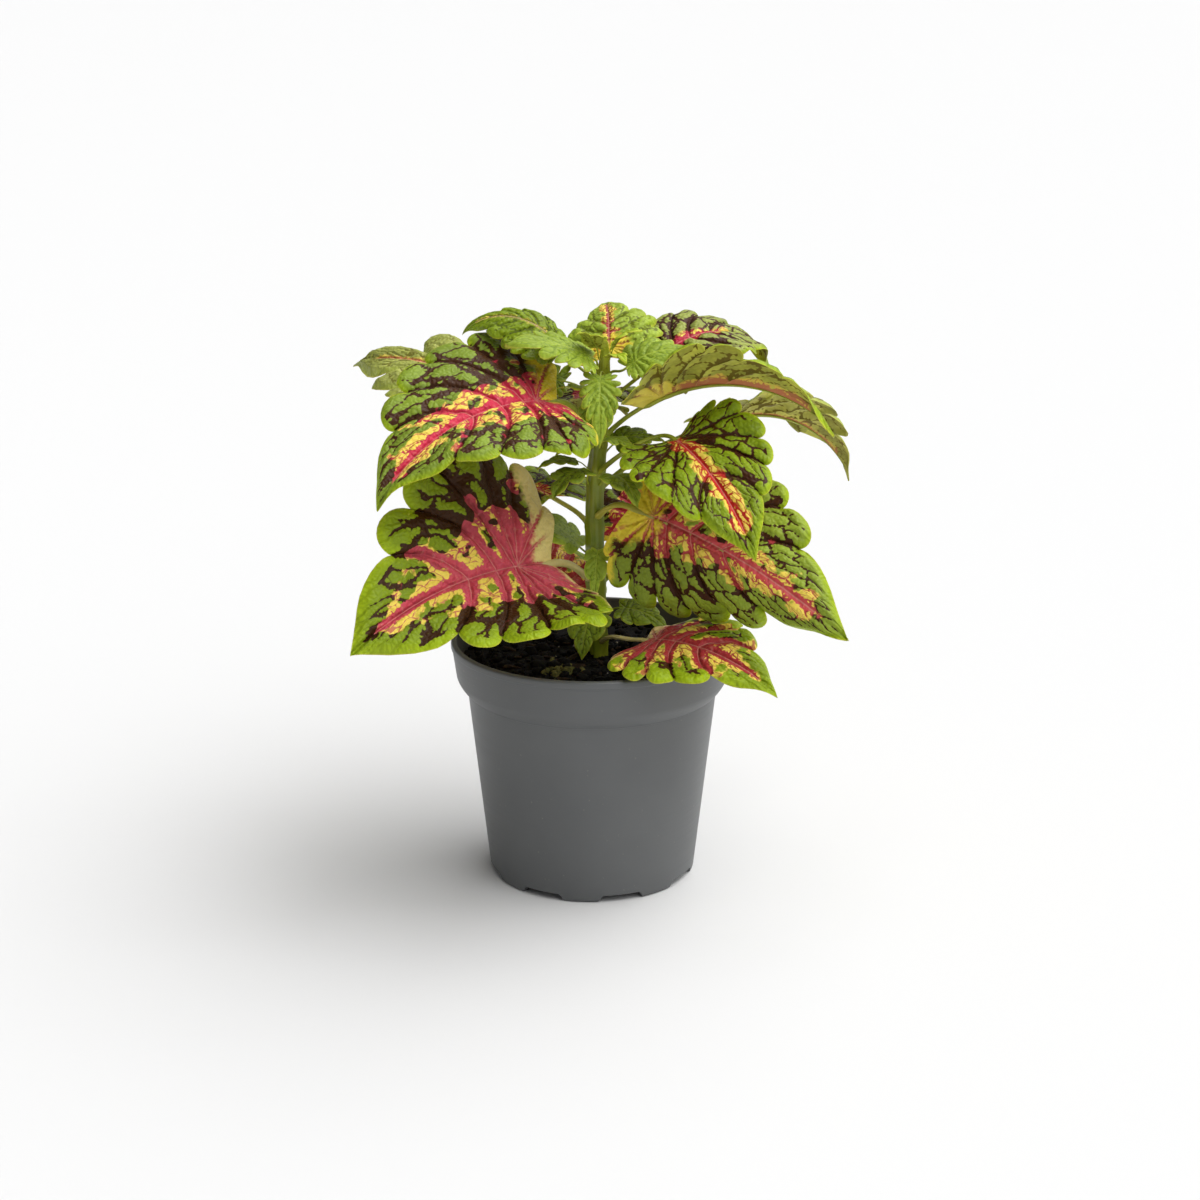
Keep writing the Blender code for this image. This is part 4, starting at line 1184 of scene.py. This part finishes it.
    def build(self) -> bpy.types.Object:
        """Build the leaf.

        Returns:
            Its object, with slots for the upper side, the under side and the petiole.
        """
        mesh = self.blade()
        stalk = bmesh.new()
        self.stalk(stalk)
        bmesh.ops.recalc_face_normals(stalk, faces=stalk.faces)
        spare = mesh_data("stalk", stalk)
        mesh.from_mesh(spare)
        bpy.data.meshes.remove(spare)
        data = mesh_data(self.form.name + "_blade", mesh)
        data.shade_smooth()
        piece = placed(data.name, data)
        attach(piece, "root")
        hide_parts(self.form.name)
        return piece

    def dress(self, piece: bpy.types.Object, dresser: LeafDresser, stalk: bpy.types.Material) -> None:
        """Give the leaf the materials of its three slots.

        Args:
            piece: The leaf's object.
            dresser: Makes the blade's materials.
            stalk: The petiole's material.
        """
        pattern = self.form.pattern
        for material in (dresser.blade(pattern, False), dresser.blade(pattern, True), stalk):
            piece.data.materials.append(material)


def number_of(name: str) -> int:
    """A number that is always the same for a name."""
    total = 7
    for letter in name:
        total = (total * 31 + ord(letter)) % 1000003
    return total


# ---------------------------------------------------------------- pot and soil

@dataclass
class Pot:
    """The tapered nursery pot. Lengths in millimetres."""

    height: float = 103.0
    rim_radius: float = 60.0
    lip_width: float = 2.5
    lip_height: float = 3.2
    band_taper: float = 2.2
    band_height: float = 18.0
    shoulder: float = 3.5
    body_top: float = 53.2
    body_foot: float = 44.2
    wall: float = 1.4
    foot_height: float = 3.2
    foot_width: float = 3.0
    pad_radius: float = 14.0
    notches: int = 8
    notch_angle: float = 25.0
    first_notch: float = -73.5
    hole_radius: float = 3.2
    hole_circle: float = 33.0
    hole_sides: int = 24
    hole_cut: Pair = (1.0, 6.0)       # heights between which the holes are cut
    notch_cut: Pair = (4.4, 4.0)      # how far the notches are cut past the foot, inwards and outwards
    steps: int = 256
    sharp_angle: float = 32.0         # edges sharper than this, in degrees, stay sharp

    def arc(self, start: Pair, corner: Pair, end: Pair, count: int = 5) -> list[Pair]:
        """Points of a rounded corner from start to end, bent towards corner."""
        points = []
        for t in np.linspace(0, 1, count):
            weights = ((1 - t) ** 2, 2 * t * (1 - t), t ** 2)
            points.append(tuple(sum(w * p[k] for w, p in zip(weights, (start, corner, end))) for k in (0, 1)))
        return points

    def profile(self) -> list[Pair]:
        """Radius and height of the wall's section, from the pad up the outside and down the inside."""
        top, rim = self.height, self.rim_radius
        band_foot = top - self.band_height
        body_end = band_foot - self.shoulder
        band_radius = rim - self.band_taper
        lip_foot, lip_in = top - self.lip_height, rim - self.lip_width
        floor = self.foot_height + self.wall
        foot_in = self.body_foot - self.foot_width
        foot, neck, slope = self.body_foot, self.body_top, self.body_top - self.body_foot
        body = [(0, 0), (self.pad_radius - 1.1, 0), (self.pad_radius, self.foot_height),
                (foot_in - 1.1, self.foot_height), (foot_in, 0)]
        body += self.arc((foot - 1.2, 0), (foot, 0), (foot + 0.12, 1.2))
        body += [(foot + slope * t, body_end * t) for t in (0.25, 0.5, 0.75, 0.96)]
        body += [(neck, body_end - 0.9), (neck + 0.3, body_end - 0.7)]
        body += self.arc((neck + 0.35, body_end - 0.3), (band_radius - 0.9, band_foot - 0.6),
                         (band_radius, band_foot + 2.6), 9)
        body += [(rim - 0.55, lip_foot - 0.5)]
        body += self.arc((rim - 0.5, lip_foot), (rim, lip_foot + 0.1), (rim, lip_foot + 0.8))
        body += self.arc((rim, top - 1.2), (rim, top), (rim - 1.1, top), 6)
        body += self.arc((lip_in + 0.5, top), (lip_in, top), (lip_in - 0.1, top - 0.8))
        body += [(band_radius - self.wall, band_foot), (neck - self.wall, body_end),
                 (foot + 0.5 - self.wall, floor), (self.pad_radius, floor), (0, floor)]
        return body

    def cutter(self) -> bmesh.types.BMesh:
        """The notches in the foot and the drain holes, as closed blocks with rounded corners."""
        mesh = bmesh.new()
        half, tall = self.notch_angle / 2, self.foot_height
        inner = self.body_foot - self.foot_width - self.notch_cut[0]
        outer = self.body_foot + self.notch_cut[1]
        corners = [(half * 1.12, -2.0), (half * 0.94, tall * 0.55), (half * 0.84, tall * 0.85),
                   (half * 0.74, tall * 0.92)]
        section = [(-corners[0][0], corners[0][1])] + corners
        section += [(-turn, height) for turn, height in corners[:0:-1]]
        for k in range(self.notches):
            middle = radians(self.first_notch + 360 / self.notches * k)
            rings = []
            for radius in (inner, outer):
                ring = [level_ring(radius, height, [middle + radians(turn)])[0] for turn, height in section]
                rings.append(add_ring(mesh, ring))
            add_tube(mesh, rings)
            place = level_ring(self.hole_circle, 0, [middle])[0]
            around = circle(self.hole_sides)
            add_tube(mesh, [add_ring(mesh, [place + p for p in level_ring(self.hole_radius, height, around)])
                            for height in self.hole_cut])
        bmesh.ops.recalc_face_normals(mesh, faces=mesh.faces)
        return mesh

    def build(self) -> bpy.types.Object:
        """Build the pot and cut its notches and holes.

        Returns:
            The pot's object.
        """
        mesh = bmesh.new()
        profile = self.profile()
        turns = circle(self.steps)
        loops = [add_ring(mesh, level_ring(radius, height, turns)) for radius, height in profile[1:-1]]
        join_rings(mesh, loops)
        for loop, height in ((loops[0], 0.0), (loops[-1], profile[-1][1])):
            pole = mesh.verts.new((0, 0, height * MM))
            for i in range(self.steps):
                mesh.faces.new((loop[i], loop[(i + 1) % self.steps], pole))
        piece = finished_object("pot_shell", mesh, "pot", self.sharp_angle)
        cutter = placed("pot_cutter", mesh_data("pot_cutter", self.cutter()))
        cut = piece.modifiers.new("notches", "BOOLEAN")
        cut.object = cutter
        cut.operation = "DIFFERENCE"
        cut.solver = "EXACT"
        depsgraph = bpy.context.evaluated_depsgraph_get()
        result = bpy.data.meshes.new_from_object(piece.evaluated_get(depsgraph))
        piece.modifiers.remove(cut)
        piece.data = result
        shade(result, self.sharp_angle)
        bpy.data.objects.remove(cutter)
        return piece

    def dress(self, piece: bpy.types.Object) -> None:
        """Give the pot its moulded plastic."""
        piece.data.materials.clear()
        piece.data.materials.append(PotPlastic().material())


@dataclass(frozen=True)
class PotPlastic:
    """Grey moulded plastic, slightly cloudy, with fine rings left by the mould."""

    colour: Colour = (0.103, 0.108, 0.110)
    pale: Colour = (0.133, 0.138, 0.139)
    dust: Colour = (0.23, 0.215, 0.19)

    def material(self) -> bpy.types.Material:
        """Build the material."""
        made = Skin("nursery_pot_plastic")
        wire, place = made.wire, made.place()
        cloud = wire.noise(place, 26.0, 4.0)
        rings = wire.out("Mapping", {"Vector": place, "Scale": (0.6, 0.6, 60.0)})
        rings = wire.noise(rings, 18.0, 2.0)
        pores = wire.noise(place, 2600.0, 2.0)
        colour = wire.mix(wire.clamp(cloud * 1.5 + 0.5), self.colour, self.pale)
        specks = wire.step(wire.noise(place, 700.0, 1.0), 0.24, 0.30) * 0.5
        colour = wire.mix(specks, colour, self.dust)
        made.set(Base_Color=colour, Roughness=cloud * 0.25 + 0.46 + rings * 0.1, Specular_IOR_Level=0.45)
        made.bump(rings * 0.4 + pores * 0.6, 0.06, 0.5)
        return made.material


@dataclass(frozen=True)
class Lumps:
    """One kind of lump in the soil. Lengths in millimetres."""

    name: str
    count: int
    size: Pair                        # the least and the largest rough radius
    shape: tuple                      # stretch along a lump's own three axes
    dark: Colour                      # colour in the hollows of the bump, as painted shade
    light: Colour
    rough: float = 0.85
    large: tuple = ()                 # the same for one lump in five, where those are larger
    spread: float = 0.95              # how far out they lie, as a share of the soil's radius
    patch: tuple = ()                 # or their middle and spread along X and along Y

    def place(self, draw: np.random.Generator, radius: float) -> Pair:
        """A random place for a lump, on soil of the given radius."""
        if self.patch:
            return tuple(middle + draw.normal(0, spread) for middle, spread in self.patch)
        angle = draw.uniform(0, 2 * pi)
        away = radius * self.spread * draw.uniform(0, 1) ** 0.5
        return away * cos(angle), away * sin(angle)

    def radius(self, draw: np.random.Generator) -> float:
        """A random radius for a lump."""
        is_large = self.large and draw.uniform() >= 0.8
        return draw.uniform(*(self.large if is_large else self.size))

    def material(self) -> bpy.types.Material:
        """Build the crumbly material between the two colours, the dark one in the bump's hollows as painted
        shade.
        """
        made = Skin(self.name)
        wire, place = made.wire, made.place()
        coarse = wire.noise(place, 420.0, 4.0, 0.6)
        fine = wire.noise(place, 2400.0, 3.0, 0.6)
        # painted shade: the same noise that sinks the bump turns the lump dark there
        colour = wire.mix(wire.clamp(coarse * 2.2 + 0.4), self.dark, self.light)
        made.set(Base_Color=colour, Roughness=self.rough, Specular_IOR_Level=0.2)
        made.bump(coarse + fine * 0.5, 0.5, 0.9)
        return made.material


# in the order of the soil's material slots
LUMPS = (
    Lumps("peat", 620, (0.5, 1.7), (1.0, 1.0, 0.7), (0.0018, 0.0015, 0.0012), (0.006, 0.0045, 0.003),
          large=(1.7, 3.2), spread=0.97),
    Lumps("bark_chips", 70, (1.0, 2.4), (2.2, 0.7, 0.35), (0.018, 0.010, 0.005), (0.055, 0.032, 0.016), 0.8),
    Lumps("pale_grains", 26, (0.25, 0.6), (1, 1, 1), (0.45, 0.43, 0.38), (0.62, 0.60, 0.55), 0.8),
    Lumps("moss_crumbs", 46, (0.5, 1.7), (1.3, 0.9, 0.9), (0.06, 0.062, 0.012), (0.24, 0.22, 0.07),
          patch=((-14, 3.4), (-21, 4.2))),
)


@dataclass
class Soil:
    """Dark peat with crumbs, bark chips and a few pale grains. Lengths in millimetres."""

    top: float = 94.0
    crown: float = 1.5
    radius: float = 55.4
    depth: float = 8.0
    rings: int = 70
    spokes: int = 150
    seed: int = 12

    def height(self, x: float, y: float) -> float:
        """Height of the soil's surface."""
        away = min((x * x + y * y) ** 0.5 / self.radius, 1.0)
        lumps = noise.fractal(Vector((x * 0.16, y * 0.16, 1.0)), 0.8, 2.0, 5)
        return self.top + self.crown * (1 - away) + 0.9 * lumps - 0.6 * away ** 8

    def build(self) -> bpy.types.Object:
        """Build the surface, its crumbs and chips.

        Returns:
            The soil's object, with slots for peat, bark, pale grains and moss.
        """
        draw = np.random.default_rng(self.seed)
        mesh = bmesh.new()
        around = circle(self.spokes)
        loops = []
        for k in range(1, self.rings + 1):
            radius = self.radius * k / self.rings
            places = [(radius * cos(a), radius * sin(a)) for a in around]
            loops.append(add_ring(mesh, [Vector((x, y, self.height(x, y))) for x, y in places]))
        low = [mesh.verts.new((v.co.x * 0.98, v.co.y * 0.98, (self.top - self.depth) * MM)) for v in loops[-1]]
        join_rings(mesh, loops + [low])
        pole = mesh.verts.new((0, 0, self.height(0, 0) * MM))
        for i in range(self.spokes):
            mesh.faces.new((loops[0][(i + 1) % self.spokes], loops[0][i], pole))
        mesh.faces.new(low[::-1])
        for slot, kind in enumerate(LUMPS):
            for _ in range(kind.count):
                x, y = kind.place(draw, self.radius)
                self.crumb(mesh, draw, x, y, kind.radius(draw), kind.shape, slot)
        return finished_object("soil_surface", mesh, "soil", sharp_angle=60)

    def crumb(self, mesh: bmesh.types.BMesh, draw: np.random.Generator, x: float, y: float, size: float,
              shape: tuple, slot: int) -> None:
        """Add one lump that lies on the surface.

        Args:
            mesh: The mesh to add it to.
            draw: Random numbers.
            x: Where it lies along X.
            y: Where it lies along Y.
            size: Its rough radius.
            shape: Stretch along its own three axes.
            slot: Material slot.
        """
        made = bmesh.ops.create_icosphere(mesh, subdivisions=1 if size < 1.2 else 2, radius=1.0)["verts"]
        turn = Euler((draw.uniform(-0.4, 0.4), draw.uniform(-0.4, 0.4), draw.uniform(0, 2 * pi))).to_matrix()
        centre = Vector((x, y, self.height(x, y) + size * shape[2] * 0.45))
        offset = Vector(draw.uniform(0, 50, 3))
        for vert in made:
            lump = 1 + 0.45 * noise.noise(vert.co * 1.4 + offset)
            local = Vector([c * s for c, s in zip(vert.co, shape)]) * size * lump
            vert.co = (centre + turn @ local) * MM
        for face in {face for vert in made for face in vert.link_faces}:
            face.material_index = slot

    def dress(self, piece: bpy.types.Object) -> None:
        """Give peat, bark, pale grains and moss their materials."""
        for kind in LUMPS:
            piece.data.materials.append(kind.material())


# ---------------------------------------------------------------- studio

@dataclass(frozen=True)
class Studio:
    """Pale floor, a bank of soft lamps on the right and the camera."""

    camera_place: tuple = (0.0034, -0.9563, 0.4119)
    camera_pitch: float = 73.0
    lens: float = 70.8
    floor_size: float = 40.0
    floor_white: float = 0.8
    floor_drop: float = 0.0002        # so that the pot's foot doesn't lie in its plane
    lamp_rows: tuple = ((60, 0.65), (35, 0.36))      # degrees above the floor, strength of each lamp
    lamp_headings: tuple = (-60, -20, 20, 60)        # degrees from +X towards +Y
    top_lamp: float = 0.28
    lamp_spread: float = 40.0         # degrees across, so that neighbours melt into one soft light
    sky: float = 0.18                 # strength of the light from all round

    def floor(self) -> None:
        """Lay a matt floor just below the pot."""
        mesh = bmesh.new()
        bmesh.ops.create_grid(mesh, x_segments=1, y_segments=1, size=self.floor_size / 2)
        floor = placed("studio_floor", mesh_data("studio_floor", mesh))
        floor.location.z = -self.floor_drop
        white = Skin("studio_floor_white")
        white.set(Base_Color=(self.floor_white,) * 3, Roughness=0.9, Specular_IOR_Level=0.1)
        floor.data.materials.append(white.material)

    def lamp(self, elevation: float, heading: float, strength: float) -> None:
        """Add one distant lamp; angles are in degrees."""
        light = bpy.data.lights.new(f"lamp_{elevation}_{heading}", "SUN")
        light.energy = strength
        light.angle = radians(self.lamp_spread)
        placed(light.name, light).rotation_euler = (0, radians(90 - elevation), radians(heading))

    def surroundings(self) -> None:
        """Make the surroundings white to the camera and dimmer as a source of light."""
        world = bpy.data.worlds.new("studio_white")
        world.use_nodes = True
        wire = Wiring(world.node_tree)
        background = world.node_tree.nodes["Background"]
        background.inputs["Color"].default_value = (1, 1, 1, 1)
        seen = wire.out("LightPath", output="Is Camera Ray")
        wire.feed(background.inputs["Strength"], seen * (1.0 - self.sky) + self.sky)
        bpy.context.scene.world = world

    def camera(self) -> None:
        """Set up the camera."""
        camera = bpy.data.cameras.new("camera")
        camera.lens = self.lens
        camera.sensor_width = 36.0
        holder = placed("camera", camera)
        holder.location = self.camera_place
        holder.rotation_euler = (radians(self.camera_pitch), 0, 0)
        bpy.context.scene.camera = holder
        bpy.context.scene.view_settings.view_transform = "Standard"

    def build(self) -> None:
        """Build the floor, the lights and the camera."""
        self.floor()
        for elevation, strength in self.lamp_rows:
            for heading in self.lamp_headings:
                self.lamp(elevation, heading, strength)
        self.lamp(90, 0, self.top_lamp)
        self.surroundings()
        self.camera()


def main() -> None:
    """Build and dress the plant piece by piece."""
    logging.basicConfig(level=logging.INFO, format="%(message)s")
    Studio().build()
    pot = Pot()
    shell = pot.build()
    pot.dress(shell)
    log.info("pot: %d faces", len(shell.data.polygons))
    soil = Soil()
    surface = soil.build()
    soil.dress(surface)
    log.info("soil: %d faces", len(surface.data.polygons))
    stem = Stem()
    skin = stem.build()
    stem.dress(skin, StalkFinish())
    stalks = {name: finish.material() for name, finish in STALKS.items()}
    dresser = LeafDresser()
    for form in LEAVES:
        leaf = Leaf(form, stem) if form.length > SMALL_LEAF else Leaf(form, stem, rows_per_lobe=8, columns=14)
        piece = leaf.build()
        leaf.dress(piece, dresser, stalks[form.stalk])
        low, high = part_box(form.name)
        corners = np.array([tuple(v.co) for v in piece.data.vertices])
        over = max(np.max(np.array(low) - corners.min(axis=0)), np.max(corners.max(axis=0) - np.array(high)))
        faces = len(piece.data.polygons)
        log.info("%s: %d faces, %.1f mm outside its solid's box", form.name, faces, over / MM)


if __name__ == "__main__":
    main()
